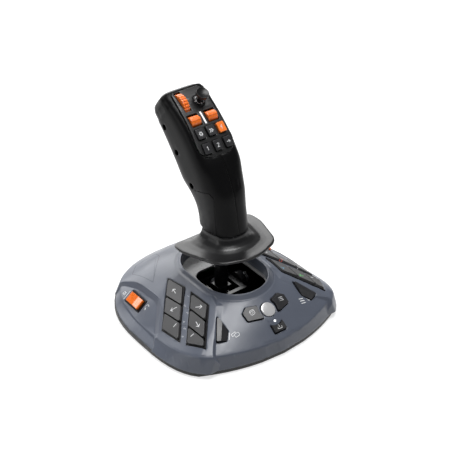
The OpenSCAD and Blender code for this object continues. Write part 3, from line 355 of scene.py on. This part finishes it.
def grid_tree(rows, shows=None):
    """Search tree over the quads between neighbouring rows of points, given in millimetres."""
    points = [Vector(p) * MM for row in rows for p in row]
    wide = len(rows[0])
    quads = []
    for j in range(len(rows) - 1):
        for i in range(wide):
            a, b = j * wide + i, j * wide + (i + 1) % wide
            if shows is None or shows(rows[j][i]):
                quads.append((a, b, b + wide, a + wide))
    return BVHTree.FromPolygons(points, quads)


# Plan of the casing, as in the solid, in millimetres
HALF_W, HALF_D = 97.5, 95.0
FRONT_N, REAR_N = 3.3, 2.5
FRONT_R = 158.0
COLLAR_R, WELL_FRONT, WELL_REAR = 38.5, -19.0, 10.0
EDGE_ROUND = 1.6
SIDE_INSET = 1.5
# Rim of the raised body at the front, and how it changes toward the sides and the rear
RIM_IN, RIM_IN_SIDE, RIM_IN_REAR = 3.5, 5.5, 4.5
RIM_Z, RIM_DROP_SIDE, RIM_RISE_REAR = 21.7, 7.7, 4.5
SWELL_SIDE, SWELL_FRONT = 2.8, 2.0
PANEL_STEP, PANEL_STEP_SIDE = 2.2, 0.2
PANEL_RIM_IN, PANEL_HALF = 1.0, 70.0
COLLAR_Z, PANEL_Z = 44.4, 42.75
WALL_FOOT_Z, WALL_OUT = 5.0, 0.5
# Where the changes start, and how far they run
SIDE_FROM, SIDE_RUN = -75.0, 65.0
REAR_FROM, REAR_RUN = 25.0, 55.0
TURNS = 360
SKIN_ROWS = 41
SOLID_TURNS = 60
BULGE_AT, CREST = 0.45, 0.14
# Where the wall of the raised body is left, and where that of the lowered panels shows
CORNER_X, CORNER_Y, BEHIND_Y = 64, -20, 70
FRONT_X, FRONT_Y = 70, -60
ROCKER_X, ROCKER_FROM_Y, ROCKER_TO_Y = 60, -30, 86


def plan_point(t, inset, recess=False):
    """Point of the casing's outline, drawn in by an inset; the lowered front follows a wide arc."""
    s = math.sin(t)
    n = FRONT_N if s < 0 else REAR_N
    if recess:
        inset += SIDE_INSET * abs(math.cos(t))
    x, y = (HALF_W - inset) * power(math.cos(t), n), (HALF_D - inset) * power(s, n)
    if recess:
        inset -= SIDE_INSET * abs(math.cos(t))
        y = max(y, -(HALF_D - inset) + x * x / (2 * FRONT_R))
    return x, y


def well_point(t):
    """Point of the collar around the stick well, on the straight cuts of the solid."""
    def corner(i):
        a = 2 * math.pi * i / SOLID_TURNS
        s = math.sin(a)
        shift = WELL_FRONT if s < 0 else WELL_REAR
        if abs(s) < 0.001:
            shift = (WELL_FRONT + WELL_REAR) / 2
        return Vector((COLLAR_R * math.cos(a), COLLAR_R * s + shift))
    place = t / (2 * math.pi) * SOLID_TURNS
    low = math.floor(place)
    return corner(low % SOLID_TURNS).lerp(corner((low + 1) % SOLID_TURNS), place - low)


def crest(f):
    """Swell of the skin between rim and well, rounded at its top."""
    up, down = f / BULGE_AT, (1 - f) / (1 - BULGE_AT)
    slope = 1 / BULGE_AT + 1 / (1 - BULGE_AT)
    gap = (up - down) / slope
    if abs(gap) > CREST:
        return min(up, down)
    return min(up, down) - slope * (CREST - abs(gap)) ** 2 / (4 * CREST)


def raised_wall_shows(p):
    """At the front corners and around the rear."""
    x, y = abs(p[0]), p[1]
    return (y < CORNER_Y and x > CORNER_X) or y > BEHIND_Y


def recess_wall_shows(p):
    """Along the front and beside the rockers."""
    x, y = abs(p[0]), p[1]
    return (y < FRONT_Y and x < FRONT_X) or (ROCKER_FROM_Y < y < ROCKER_TO_Y and x > ROCKER_X)


def casing_trees(recess):
    """Smooth wall and top of the raised body, or of the lowered panels."""
    walls, tops = [[], []], [[] for _ in range(SKIN_ROWS)]
    for k in range(TURNS):
        t = 2 * math.pi * k / TURNS
        x0, y0 = plan_point(t, 0)
        side = math.sin(math.pi / 2 * clamp((y0 - SIDE_FROM) / SIDE_RUN))
        rear = (1 - math.cos(math.pi * clamp((y0 - REAR_FROM) / REAR_RUN))) / 2
        middle = clamp(1 - abs(x0) / PANEL_HALF) if math.sin(t) < 0 else 0
        inset = RIM_IN + RIM_IN_SIDE * side - RIM_IN_REAR * rear
        z = RIM_Z - RIM_DROP_SIDE * side + RIM_RISE_REAR * rear
        swell = SWELL_SIDE * side
        if recess:
            inset += (PANEL_RIM_IN - inset) * middle
            z -= PANEL_STEP + PANEL_STEP_SIDE * side
            swell += SWELL_FRONT * middle
        edge = Vector((*plan_point(t, inset + EDGE_ROUND, recess), z + EDGE_ROUND / 3))
        top = Vector((*well_point(t), PANEL_Z if recess else COLLAR_Z))
        walls[0].append((*plan_point(t, 0, recess), WALL_FOOT_Z))
        walls[1].append((*plan_point(t, inset - WALL_OUT, recess), z - EDGE_ROUND))
        for j, row in enumerate(tops):
            f = j / (len(tops) - 1)
            row.append(edge.lerp(top, f) + Vector((0, 0, swell * crest(f))))
    return [grid_tree(walls, recess_wall_shows if recess else raised_wall_shows), grid_tree(tops)]


# Face plate of the grip, in its middle plane
PLATE_LEN, PLATE_BOW, PLATE_TILT = 69.0, 4.0, math.radians(38)
PLATE_R = (PLATE_LEN ** 2 / 4 + PLATE_BOW ** 2) / (2 * PLATE_BOW)
PLATE_MID = Vector((26.9, 186.4))
PLATE_OUT = Vector((-math.sin(PLATE_TILT), math.cos(PLATE_TILT)))
PLATE_AXIS = PLATE_MID - PLATE_OUT * (PLATE_R - PLATE_BOW)
PLATE_SEAT = 0.6
HEAD_REAR_N = 3.2
GRIP_SIDES, GRIP_STEPS = 144, 8


def plate_turn(s):
    """Slope of the face plate at a distance along it."""
    return PLATE_TILT - (s - PLATE_LEN / 2) / PLATE_R


def on_arc(s, deep):
    """Point at a distance along the face plate, and so deep under it."""
    a = plate_turn(s)
    return PLATE_AXIS + Vector((-math.sin(a), math.cos(a))) * (PLATE_R - deep)


def grip_stations():
    """From the seam up: front point, rear point, half width and squareness at the front and rear."""
    low = [(-27.5, 93.4, 18.5, 93.4, 19, 2.5, 2.6), (-25.3, 104.4, 19.3, 102.4, 19.3, 2.5, 2.6),
           (-22.6, 117.4, 22.4, 112.4, 20, 2.5, 2.6), (-19.5, 131.9, 27.6, 120, 21, 2.7, 2.8),
           (-12, 148, 31.4, 124.2, 22.2, 3.2, 3), (-5, 159.4, 33.6, 127.4, 23.2, 4, 3.2)]
    head = [(6, 50.5, 23.6, 4.6), (20, 48.5, 23.6, 5), (34.5, 45.5, 23.6, 5), (52, 40.5, 23.6, 5),
            (67, 34, 23.6, 5), (71, 31, 22.4, 4.5)]
    for s, deep, half, n in head:
        front = on_arc(s, PLATE_SEAT)
        low.append((*front, *(front - PLATE_OUT * deep), half, n, HEAD_REAR_N))
    return [Vector(v) for v in low]


def grip_ring(st):
    """Outline of the grip at one station."""
    front, rear = Vector(st[0:2]), Vector(st[2:4])
    middle, half = (front + rear) / 2, (rear - front) / 2
    ring = []
    for i in range(GRIP_SIDES):
        t = 2 * math.pi * i / GRIP_SIDES
        s = math.sin(t)
        n = st[5] if s < 0 else st[6]
        p = middle + half * power(s, n)
        ring.append((st[4] * power(math.cos(t), n), p[0], p[1]))
    return ring


def grip_tree():
    """The grip as one smooth surface through its stations."""
    st = grip_stations()
    far = [(b - a).length for a, b in zip(st, st[1:])]
    lean = []
    for i, p in enumerate(st):
        if i in (0, len(st) - 1):
            k = min(i, len(far) - 1)
            lean.append((st[k + 1] - st[k]) / far[k])
        else:
            back, ahead = (p - st[i - 1]) / far[i - 1], (st[i + 1] - p) / far[i]
            lean.append((ahead * far[i - 1] + back * far[i]) / (far[i - 1] + far[i]))
    rows = []
    for i, d in enumerate(far):
        for k in range(GRIP_STEPS + (i == len(far) - 1)):
            f = k / GRIP_STEPS
            g = f * f * (3 - 2 * f)
            point = st[i] * (1 - g) + st[i + 1] * g
            point += lean[i] * (d * f * (1 - f) ** 2) - lean[i + 1] * (d * f * f * (1 - f))
            rows.append(grip_ring(point))
    return grid_tree(rows)


# Farthest move onto a smooth surface, agreement of the two directions, and share of the reach that fades
REACH = 0.5 * MM
AGREE_FROM, AGREE_RUN = 0.972, 0.02
FADE = 0.4


def settle_on(obj, trees):
    """Moves points that lie on a faceted surface onto the smooth one, and leaves rounded edges alone."""
    mesh = obj.data
    points = [(v.co.copy(), v.normal.copy()) for v in mesh.vertices]
    moved = []
    for point, facing in points:
        best = None
        for tree in trees:
            found = tree.find_nearest(point, REACH)
            if found[0] is not None and (best is None or found[3] < best[3]):
                best = found
        if best:
            place, normal, _, far = best
            agree = clamp((abs(facing.dot(normal)) - AGREE_FROM) / AGREE_RUN)
            near = clamp((REACH - far) / (FADE * REACH))
            point = point.lerp(place, agree * near)
        moved.extend(point)
    mesh.vertices.foreach_set("co", moved)
    mesh.update()


def rounded_skin(node, paint, voxel, rounds, faces, trees=()):
    """A moulded piece: the solid with every edge rounded, as one fine skin."""
    obj = as_object(node + "_skin", welded(node))
    remesh = obj.modifiers.new("skin", "REMESH")
    remesh.mode = "VOXEL"
    remesh.voxel_size = voxel * MM
    smooth = obj.modifiers.new("round", "SMOOTH")
    smooth.factor = 0.5
    smooth.iterations = rounds
    settled(obj)
    if trees:
        settle_on(obj, trees)
    have = sum(len(p.vertices) - 2 for p in obj.data.polygons)
    if have > faces:
        obj.modifiers.new("thin", "DECIMATE").ratio = faces / have
        settled(obj)
    return dress(obj, paint, BODY_OF[node], node)


def bevelled(node, paint, width, segments=2, angle=35):
    """A small hard piece: the solid with its sharp edges broken."""
    bm = welded(node)
    bmesh.ops.dissolve_limit(bm, angle_limit=FLAT, verts=bm.verts, edges=bm.edges)
    sharp = [e for e in bm.edges if len(e.link_faces) == 2 and e.calc_face_angle(0) > math.radians(angle)]
    bmesh.ops.bevel(bm, geom=sharp, offset=width * MM, segments=segments, profile=0.5, affect="EDGES",
                    clamp_overlap=True)
    obj = as_object(node + "_cap", bm)
    dress(obj, paint, BODY_OF[node], node)
    return even_normals(obj)


def keep(node, paint):
    """A solid that is shown as it is, with its own finish."""
    mesh = NODES[node].data
    mesh.materials.clear()
    mesh.materials.append(paint.mat)


GRIP_SURFACE = [grip_tree()]
rounded_skin("base_shell", SLATE, 0.5, 3, 180000, casing_trees(False) + casing_trees(True))
rounded_skin("hand_rest", REST, 0.6, 12, 18000)
rounded_skin("grip_left", GRIP, 0.45, 3, 26000, GRIP_SURFACE)
rounded_skin("grip_right", GRIP, 0.45, 3, 26000, GRIP_SURFACE)
rounded_skin("palm_insert", INSERT, 0.4, 3, 16000, GRIP_SURFACE)
rounded_skin("face_plate", PLATE, 0.3, 3, 24000)
bevelled("gate_plate", GATE, 0.4)
for n in [k for k in NODES if k.startswith(("key_l", "key_r"))]:
    bevelled(n, KEY, 0.35, 3)
for n in ("page_button_left", "page_button_right", "wedge_button_left", "wedge_button_right",
          "lower_button"):
    bevelled(n, DARK, 0.4, 3, 12)
bevelled("home_button", SILVER, 0.5, 3)
for n in ("rocker_left", "rocker_right"):
    rounded_skin(n, ORANGE, 0.25, 10, 14000)
for n in ("roller_left", "roller_right"):
    rounded_skin(n, ORANGE, 0.2, 14, 12000)
rounded_skin("scroll_wheel", ORANGE, 0.2, 5, 14000)
for k in range(1, 7):
    paint, slot = (ORANGE, "orange") if k == 3 else (DARK, "dark_buttons")
    bevelled("head_button_%d" % k, paint, 0.5, 3)
rounded_skin("thumb_stick", THUMB, 0.18, 4, 20000)
bevelled("light_bar", BAR, 0.25, 2)
bevelled("status_light", LED, 0.3, 3)
bevelled("bottom_cover", COVER, 0.5, 2)
for n in ("rocker_frame_left", "rocker_frame_right", "key_tray_left", "key_tray_right"):
    bevelled(n, TRAY, 0.15, 2)
for n in ("gimbal_mount", "gimbal_ring", "stick_shaft"):
    bevelled(n, GLOSS, 0.5, 2)
for n, paint in (("thumb_base", TRAY), ("thumb_ring", STEEL), ("magnet", STEEL), ("cable_inlet", STEEL),
                 ("case_screws", OXIDE), ("grip_screws", OXIDE), ("rubber_feet", RUBBER),
                 ("main_board", BOARD), ("sensor_board", BOARD), ("front_board", BOARD),
                 ("head_board", BOARD)):
    keep(n, paint)


# Springs, wound finer than the solids

def wound(node, start, axes, radius, turns):
    """One round wire, wound along the third axis."""
    wire, pitch, per_turn, sides = 0.5, 1.5, 48, 14
    lean = math.atan(pitch / (2 * math.pi * radius))
    out_x, out_y, along = (Vector(a) for a in axes)
    bm = bmesh.new()
    rings = []
    for j in range(math.ceil(turns * per_turn) + 1):
        a = 2 * math.pi * j / per_turn
        out = out_x * math.cos(a) + out_y * math.sin(a)
        ahead = out_y * math.cos(a) - out_x * math.sin(a)
        middle = Vector(start) + out * radius + along * (pitch * j / per_turn)
        rise = along * math.cos(lean) - ahead * math.sin(lean)
        ring = []
        for i in range(sides):
            b = 2 * math.pi * i / sides
            ring.append(bm.verts.new((middle + (out * math.cos(b) + rise * math.sin(b)) * wire) * MM))
        rings.append(ring)
    for low, high in zip(rings, rings[1:]):
        for i in range(sides):
            k = (i + 1) % sides
            bm.faces.new((low[i], low[k], high[k], high[i]))
    bm.faces.new(rings[0])
    bm.faces.new(rings[-1])
    bmesh.ops.recalc_face_normals(bm, faces=bm.faces)
    dress(as_object(node + "_wire", bm), STEEL, BODY_OF[node], node)


PIVOT_Z, PITCH_SPRING_X, ROLL_SPRING_Y = 19.5, 25, 7.5
wound("pitch_spring", (PITCH_SPRING_X, 0, PIVOT_Z), ((0, 0, -1), (0, 1, 0), (1, 0, 0)), 4.8, 3.5)
wound("roll_spring", (0, ROLL_SPRING_Y, PIVOT_Z), ((1, 0, 0), (0, 0, -1), (0, 1, 0)), 4.2, 3)


# Printed marks, laid on the pieces that carry them

# Half the height of a printed line and its longest step
INK, FINE = 0.04, 0.6
# A sharper turn than TURN_BACK gets no mitre, and MITRE limits the others
TURN_BACK, MITRE = 0.2, 0.5
# Cut corner of a frame, as a share of its short side
CORNER_CUT = 0.2


class Sheet:
    """A flat frame over a piece, from which marks drop onto it."""

    def __init__(self, piece, origin=(0, 0, 0), along=(1, 0, 0), up=(0, 1, 0), reach=90):
        mesh = bpy.data.objects[piece].data
        points = [v.co.copy() for v in mesh.vertices]
        self.tree = BVHTree.FromPolygons(points, [tuple(p.vertices) for p in mesh.polygons])
        self.origin, self.x, self.y = Vector(origin), Vector(along), Vector(up)
        self.normal = self.x.cross(self.y)
        self.reach = reach

    def drop(self, p):
        start = self.origin + self.x * p.x + self.y * p.y + self.normal * self.reach
        place, normal, _, _ = self.tree.ray_cast(start * MM, -self.normal)
        return place, normal


def resampled(points):
    """The same line in short steps."""
    out = []
    for a, b in zip(points, points[1:]):
        a, b = Vector(a), Vector(b)
        cuts = max(1, math.ceil((b - a).length / FINE))
        out += [a.lerp(b, k / cuts) for k in range(cuts)]
    return out + [Vector(points[-1])]


def stroke(bm, sheet, points, width):
    """A thin raised line, closed all round, that follows the surface below it."""
    line = resampled(points)
    loop = (line[0] - line[-1]).length < 1e-6
    if loop:
        line.pop()
    count = len(line)
    rows = []
    for i, p in enumerate(line):
        before = (p - line[i - 1]).normalized() if loop or i else None
        after = (line[(i + 1) % count] - p).normalized() if loop or i < count - 1 else None
        a, b = before or after, after or before
        lean = (a + b).normalized() if (a + b).length > TURN_BACK else a
        side = Vector((-lean.y, lean.x))
        side *= width / 2 / max(MITRE, side.dot(Vector((-a.y, a.x))))
        (left, left_up), (right, right_up) = sheet.drop(p + side), sheet.drop(p - side)
        if left is None or right is None:
            continue
        high = [left + left_up * INK * MM, right + right_up * INK * MM]
        low = [right - right_up * INK * MM, left - left_up * INK * MM]
        rows.append([bm.verts.new(v) for v in high + low])
    pairs = list(zip(rows, rows[1:])) + ([(rows[-1], rows[0])] if loop else [])
    for r0, r1 in pairs:
        for k in range(4):
            n = (k + 1) % 4
            bm.faces.new((r0[k], r0[n], r1[n], r1[k]))
    if not loop:
        bm.faces.new(rows[0])
        bm.faces.new(rows[-1])


def mark(name, node, sheet, paint, strokes):
    """One printed mark, which rides with the piece that carries it."""
    bm = bmesh.new()
    for points, width in strokes:
        stroke(bm, sheet, points, width)
    bmesh.ops.recalc_face_normals(bm, faces=bm.faces)
    dress(as_object(name, bm), paint, BODY_OF[node]).data.shade_flat()


def turned(strokes, at, degrees=0.0, size=1.0):
    """Strokes drawn about the origin, turned, scaled and set in place."""
    c, s = math.cos(math.radians(degrees)) * size, math.sin(math.radians(degrees)) * size
    return [([(at[0] + c * x - s * y, at[1] + s * x + c * y) for x, y in points], width)
            for points, width in strokes]


def arc(r, start, end, cuts=14, at=(0, 0)):
    turns = [math.radians(start + (end - start) * k / cuts) for k in range(cuts + 1)]
    return [(at[0] + r * math.cos(a), at[1] + r * math.sin(a)) for a in turns]


def ring(r, at=(0, 0)):
    points = arc(r, 0, 360, 18, at)
    return points[:-1] + [points[0]]


def frame_line(w, h, at=(0, 0)):
    """Outline of a rectangle with cut corners."""
    x, y, c = w / 2, h / 2, min(w, h) * CORNER_CUT
    corners = [(x, y - c), (x - c, y), (c - x, y), (-x, y - c),
               (-x, c - y), (c - x, -y), (x - c, -y), (x, c - y)]
    points = [(at[0] + px, at[1] + py) for px, py in corners]
    return points + [points[0]]


ARROW = [([(-3, 0), (3, 0)], 0.55), ([(1.1, 1.8), (3, 0), (1.1, -1.8)], 0.55)]
DASH = [([(-1.7, 0), (1.7, 0)], 0.6)]
TICK = 0.34
DIGITS = {
    1: [[(-0.5, 1.0), (0.1, 1.5), (0.1, -1.5)]],
    2: [[(-0.8, 0.9), (-0.3, 1.5), (0.5, 1.4), (0.8, 0.8), (-0.8, -1.5), (0.9, -1.5)]],
    3: [[(-0.8, 1.5), (0.8, 1.5), (0, 0.3), (0.8, -0.5), (0.4, -1.4), (-0.4, -1.5), (-0.9, -1.0)]],
    4: [[(0.4, -1.5), (0.4, 1.5), (-0.9, -0.6), (1.0, -0.6)]],
    5: [[(0.8, 1.5), (-0.6, 1.5), (-0.7, 0.2), (0.4, 0.3), (0.8, -0.5), (0.3, -1.4), (-0.8, -1.3)]],
    6: [[(0.6, 1.4), (-0.3, 0.8), (-0.8, -0.4), (-0.3, -1.4), (0.5, -1.4), (0.8, -0.6), (0.2, 0.1),
         (-0.6, -0.2)]],
}


def digit(number, at, size, width):
    return turned([(points, width) for points in DIGITS[number]], at, 0, size)


LAMP = [(ring(1.2, (0, 0.6)), 0.45), ([(-1.6, -1.6), (1.6, -1.6)], 0.45)]
BENT_ARROW = [(arc(1.7, -60, 190), 0.42), ([(-2.6, 0.5), (-1.68, -0.4), (-0.9, 0.6)], 0.42)]
MENU = [([(-2.6, y), (2.6, y)], 0.75) for y in (-2.1, 0, 2.1)]
TWO_SHEETS = [(frame_line(4.4, 2.8, (1.2, -0.6)), 0.45),
              ([(-1.4, 0.2), (-3.2, 0.2), (-3.2, 2.2), (1.0, 2.2), (1.0, 1.1)], 0.45)]
WINDOW = [(frame_line(4.6, 4.2), 0.4), ([(-2.1, 0.9), (2.1, 0.9)], 0.4), ([(-0.9, -0.6), (0.9, -0.6)], 0.4)]
LIST_ROWS = (-1.5, 0, 1.5)
LIST = [([(-0.9, y), (2.2, y)], 0.42) for y in LIST_ROWS]
LIST += [([(-2.2, y), (-1.7, y)], 0.5) for y in LIST_ROWS]
SHARE = [([(-2.3, -0.2), (-2.3, -1.9), (2.3, -1.9), (2.3, -0.2)], 0.42), ([(0, -0.9), (0, 2.1)], 0.42),
         ([(-1.0, 1.2), (0, 2.2), (1.0, 1.2)], 0.42)]
TEETH = [(math.cos(math.pi / 4 * k), math.sin(math.pi / 4 * k)) for k in range(8)]
GEAR = [(ring(1.15), 0.55)] + [([(1.5 * x, 1.5 * y), (2.1 * x, 2.1 * y)], 0.7) for x, y in TEETH]
CHEVRONS = [([(x, 1.6), (x + 1.5, 0), (x, -1.6)], 0.6) for x in (-1.8, 0.2)]
BOLT = [([(0.7, 1.9), (-0.9, -0.1), (0.5, 0.1), (-0.6, -2.0)], 0.5)]
AHEAD = [([(-1.8, 0), (1.6, 0)], 0.45), ([(0.4, 1.3), (1.8, 0), (0.4, -1.3)], 0.45)]

for key, at, angle in (("key_l1", (-53.6, 0.7), 77), ("key_l2", (-64.9, -14.2), 150),
                       ("key_l4", (-50.4, -32.8), -48), ("key_l5", (-61.5, -45.8), -103)):
    mark(key + "_arrow", key, Sheet(key + "_cap"), WHITE_INK, turned(ARROW, at, angle))
for key, at in (("key_l3", (-73.8, -28.4)), ("key_l6", (-70.8, -50.6)),
                ("key_r6", (70.8, -49.7)), ("key_r3", (71.2, -29.7))):
    mark(key + "_dash", key, Sheet(key + "_cap"), WHITE_INK, turned(DASH, at, 175 if at[0] < 0 else 5))
CHEVRON = [([(-1.5, 1.6), (1.3, 0), (-1.5, -1.6)], 0.55)]
TRIANGLE = [([(-1.8, -1.4), (0, 1.7), (1.8, -1.4), (-1.8, -1.4)], 0.55)]
RIGHT_MARKS = (("key_r4", (47.8, -33.6), BLUE_INK, CHEVRON),
               ("key_r5", (59.5, -46.3), GREEN_INK, TRIANGLE),
               ("key_r2", (59.6, -16.7), RED_INK, [(ring(1.5), 0.55)]),
               ("key_r1", (53.0, -1.0), WHITE_INK, [(frame_line(3, 3), 0.5)]))
for key, at, paint, strokes in RIGHT_MARKS:
    mark(key + "_sign", key, Sheet(key + "_cap"), paint, turned(strokes, at))
for node, at, strokes in (("page_button_left", (-15.8, -66.7), WINDOW),
                          ("page_button_right", (17.9, -66.4), LIST), ("lower_button", (0, -86.2), SHARE)):
    mark(node + "_sign", node, Sheet(node + "_cap"), WHITE_INK, turned(strokes, at, 0, 0.95))

CASING = Sheet("base_shell_skin")
LABELS = ((-48.3, -14), (-56.1, -19.2), (-59.4, -27.5), (-66.4, -32), (-70, -38.2), (-75.6, -42.4))
DIVIDERS = (((-58.5, -19), (-55.3, -25.8)), ((-69.8, -32), (-66.8, -38.5)))
ROCKER_LINE, LAMP_AT, ARROW_AT = ((-71.8, 47.8), (-80, 47.5)), (-75.7, 52.2), (-74.1, 16.5)
PANEL_LINE = ((-57.2, 30.2), (-30.5, 58.4), (-27, 70), (-48, 74), (-59.5, 62.5), (-57.2, 30.2))
INNER_LINE = ((-55, 32.3), (-35.8, 57.3))
small, lines, seams = [], [], []


def on_side(points, side):
    """Points of the left half, or their mirror image on the right."""
    return [(x * side, y) for x, y in points]


for side in (1, -1):
    for k, at in enumerate(on_side(LABELS, side)):
        small += digit(k + 1, at, 0.7, TICK)
    seams += [(on_side(divider, side), 0.5) for divider in DIVIDERS]
    lines.append((on_side(ROCKER_LINE, side), 0.5))
    lamp_at, arrow_at = on_side((LAMP_AT, ARROW_AT), side)
    lines += turned(LAMP, lamp_at) + turned(BENT_ARROW, arrow_at, 0, 1.1)
    seams.append((on_side(PANEL_LINE, side), 0.45))
    seams.append((on_side(INNER_LINE, side), 0.3))
lines += [([(-43.1, -68.7), (-46.8, -73.2)], 0.9), ([(44.1, -68.3), (47.5, -73.0)], 0.9)]
lines += turned(TWO_SHEETS, (-39.5, -72.9)) + turned(MENU, (39.6, -71.7))
mark("casing_digits", "base_shell", CASING, GREY_INK, small)
mark("casing_signs", "base_shell", CASING, WHITE_INK, lines)
mark("casing_seams", "base_shell", CASING, GROOVE, seams)


def head_sheet(piece, node, reach):
    """Frame on the face plate over the middle of a piece."""
    spread = [v.co / MM for v in NODES[node].data.vertices]
    middle = [(min(p[k] for p in spread) + max(p[k] for p in spread)) / 2 for k in range(3)]
    a = math.atan2(PLATE_AXIS[0] - middle[1], middle[2] - PLATE_AXIS[1])
    foot = PLATE_AXIS + Vector((-math.sin(a), math.cos(a))) * PLATE_R
    return Sheet(piece, (middle[0], *foot), (1, 0, 0), (0, math.cos(a), math.sin(a)), reach)


HEAD_REACH = 20
HEAD_SIGNS = (GEAR, CHEVRONS, BOLT, digit(1, (0, 0), 1.1, 0.5), digit(2, (0, 0), 1.1, 0.5), AHEAD)
for k, strokes in enumerate(HEAD_SIGNS, 1):
    node = "head_button_%d" % k
    sheet = head_sheet(node + "_cap", node, HEAD_REACH)
    mark(node + "_sign", node, sheet, WHITE_INK, turned(strokes, (0, -0.2)))
THUMB_SIGNS = [([(3.6, -0.7), (4.7, 0), (3.6, 0.7), (3.6, -0.7)], 0.4)]
QUARTERS = (0, 90, 180, 270)
around = [part for turn in QUARTERS for part in turned(THUMB_SIGNS, (0, 0), turn)]
around += [(arc(4.1, turn + 25, turn + 65, 8), 0.35) for turn in QUARTERS]
THUMB_X, THUMB_S, UNDER_CAP = 6, 53, 5
thumb_a = plate_turn(THUMB_S)
thumb_sheet = Sheet("thumb_stick_skin", (THUMB_X, *on_arc(THUMB_S, 0)), (1, 0, 0),
                    (0, math.cos(thumb_a), math.sin(thumb_a)), UNDER_CAP)
mark("thumb_stick_signs", "thumb_stick", thumb_sheet, WHITE_INK, around)


# Camera, floor and light

CAMERA_AT = Vector((-0.5105, -0.6723, 0.6430))
CAMERA_RIGHT = Vector((0.7938, -0.6082, 0.0))
CAMERA_UP = Vector((0.3360, 0.4386, 0.8335))
CAMERA_BACK = Vector((-0.5069, -0.6616, 0.5525))
LENS_MM = 85.53
SENSOR_MM = 36
FLOOR_R = 6.0
FLOOR_LIFT = 0.66
WORLD_STRENGTH = 0.13
# Lamps: name, place, aim, width and height in metres, watts
LAMPS = (("top", (0.1, -0.1, 1.3), (0, 0, 0.05), (0.75, 0.65), 15.5),
         ("back", (0.25, 1.5, 0.8), (0, 0, 0.1), (2.2, 1.2), 32),
         ("left", (-1.4, 0.3, 0.6), (0, 0, 0.1), (0.5, 1.0), 3.5))


def make_camera():
    data = bpy.data.cameras.new("camera")
    data.lens = LENS_MM
    data.sensor_width = SENSOR_MM
    data.clip_start = 0.01
    obj = bpy.data.objects.new("camera", data)
    turn = Matrix((CAMERA_RIGHT, CAMERA_UP, CAMERA_BACK)).transposed().to_4x4()
    obj.matrix_world = Matrix.Translation(CAMERA_AT) @ turn
    scene.collection.objects.link(obj)
    scene.camera = obj


def make_floor():
    mesh = bpy.data.meshes.new("floor")
    bm = bmesh.new()
    bmesh.ops.create_circle(bm, cap_ends=True, segments=96, radius=FLOOR_R)
    bm.to_mesh(mesh)
    bm.free()
    obj = bpy.data.objects.new("floor", mesh)
    scene.collection.objects.link(obj)
    p = Paint("floor_white", (0.46, 0.46, 0.464), 0.9, spec=0.1)
    p.tones(0.4, 0.004)
    path = p.add("LightPath")
    seen = p.add("Math")
    seen.operation = "MAXIMUM"
    p.link(path.outputs["Is Camera Ray"], seen.inputs[0])
    p.link(path.outputs["Is Glossy Ray"], seen.inputs[1])
    lift = p.add("Math")
    lift.operation = "MULTIPLY"
    lift.inputs[1].default_value = FLOOR_LIFT
    p.link(seen.outputs[0], lift.inputs[0])
    p.set("Emission Color", (1, 1, 1, 1))
    p.link(lift.outputs[0], p.bsdf.inputs["Emission Strength"])
    mesh.materials.append(p.mat)


def softbox(name, at, aim, size, watts):
    """Rectangular lamp turned toward a point."""
    data = bpy.data.lights.new(name, "AREA")
    data.shape = "RECTANGLE"
    data.size, data.size_y = size
    data.energy = watts
    obj = bpy.data.objects.new(name, data)
    direction = Vector(aim) - Vector(at)
    obj.rotation_euler = direction.to_track_quat("-Z", "Y").to_euler()
    obj.location = at
    scene.collection.objects.link(obj)


def make_light_rig():
    world = bpy.data.worlds.new("studio")
    scene.world = world
    world.use_nodes = True
    back = world.node_tree.nodes["Background"]
    back.inputs["Color"].default_value = (0.93, 0.94, 0.96, 1)
    back.inputs["Strength"].default_value = WORLD_STRENGTH
    for lamp in LAMPS:
        softbox(*lamp)


make_camera()
make_floor()
make_light_rig()
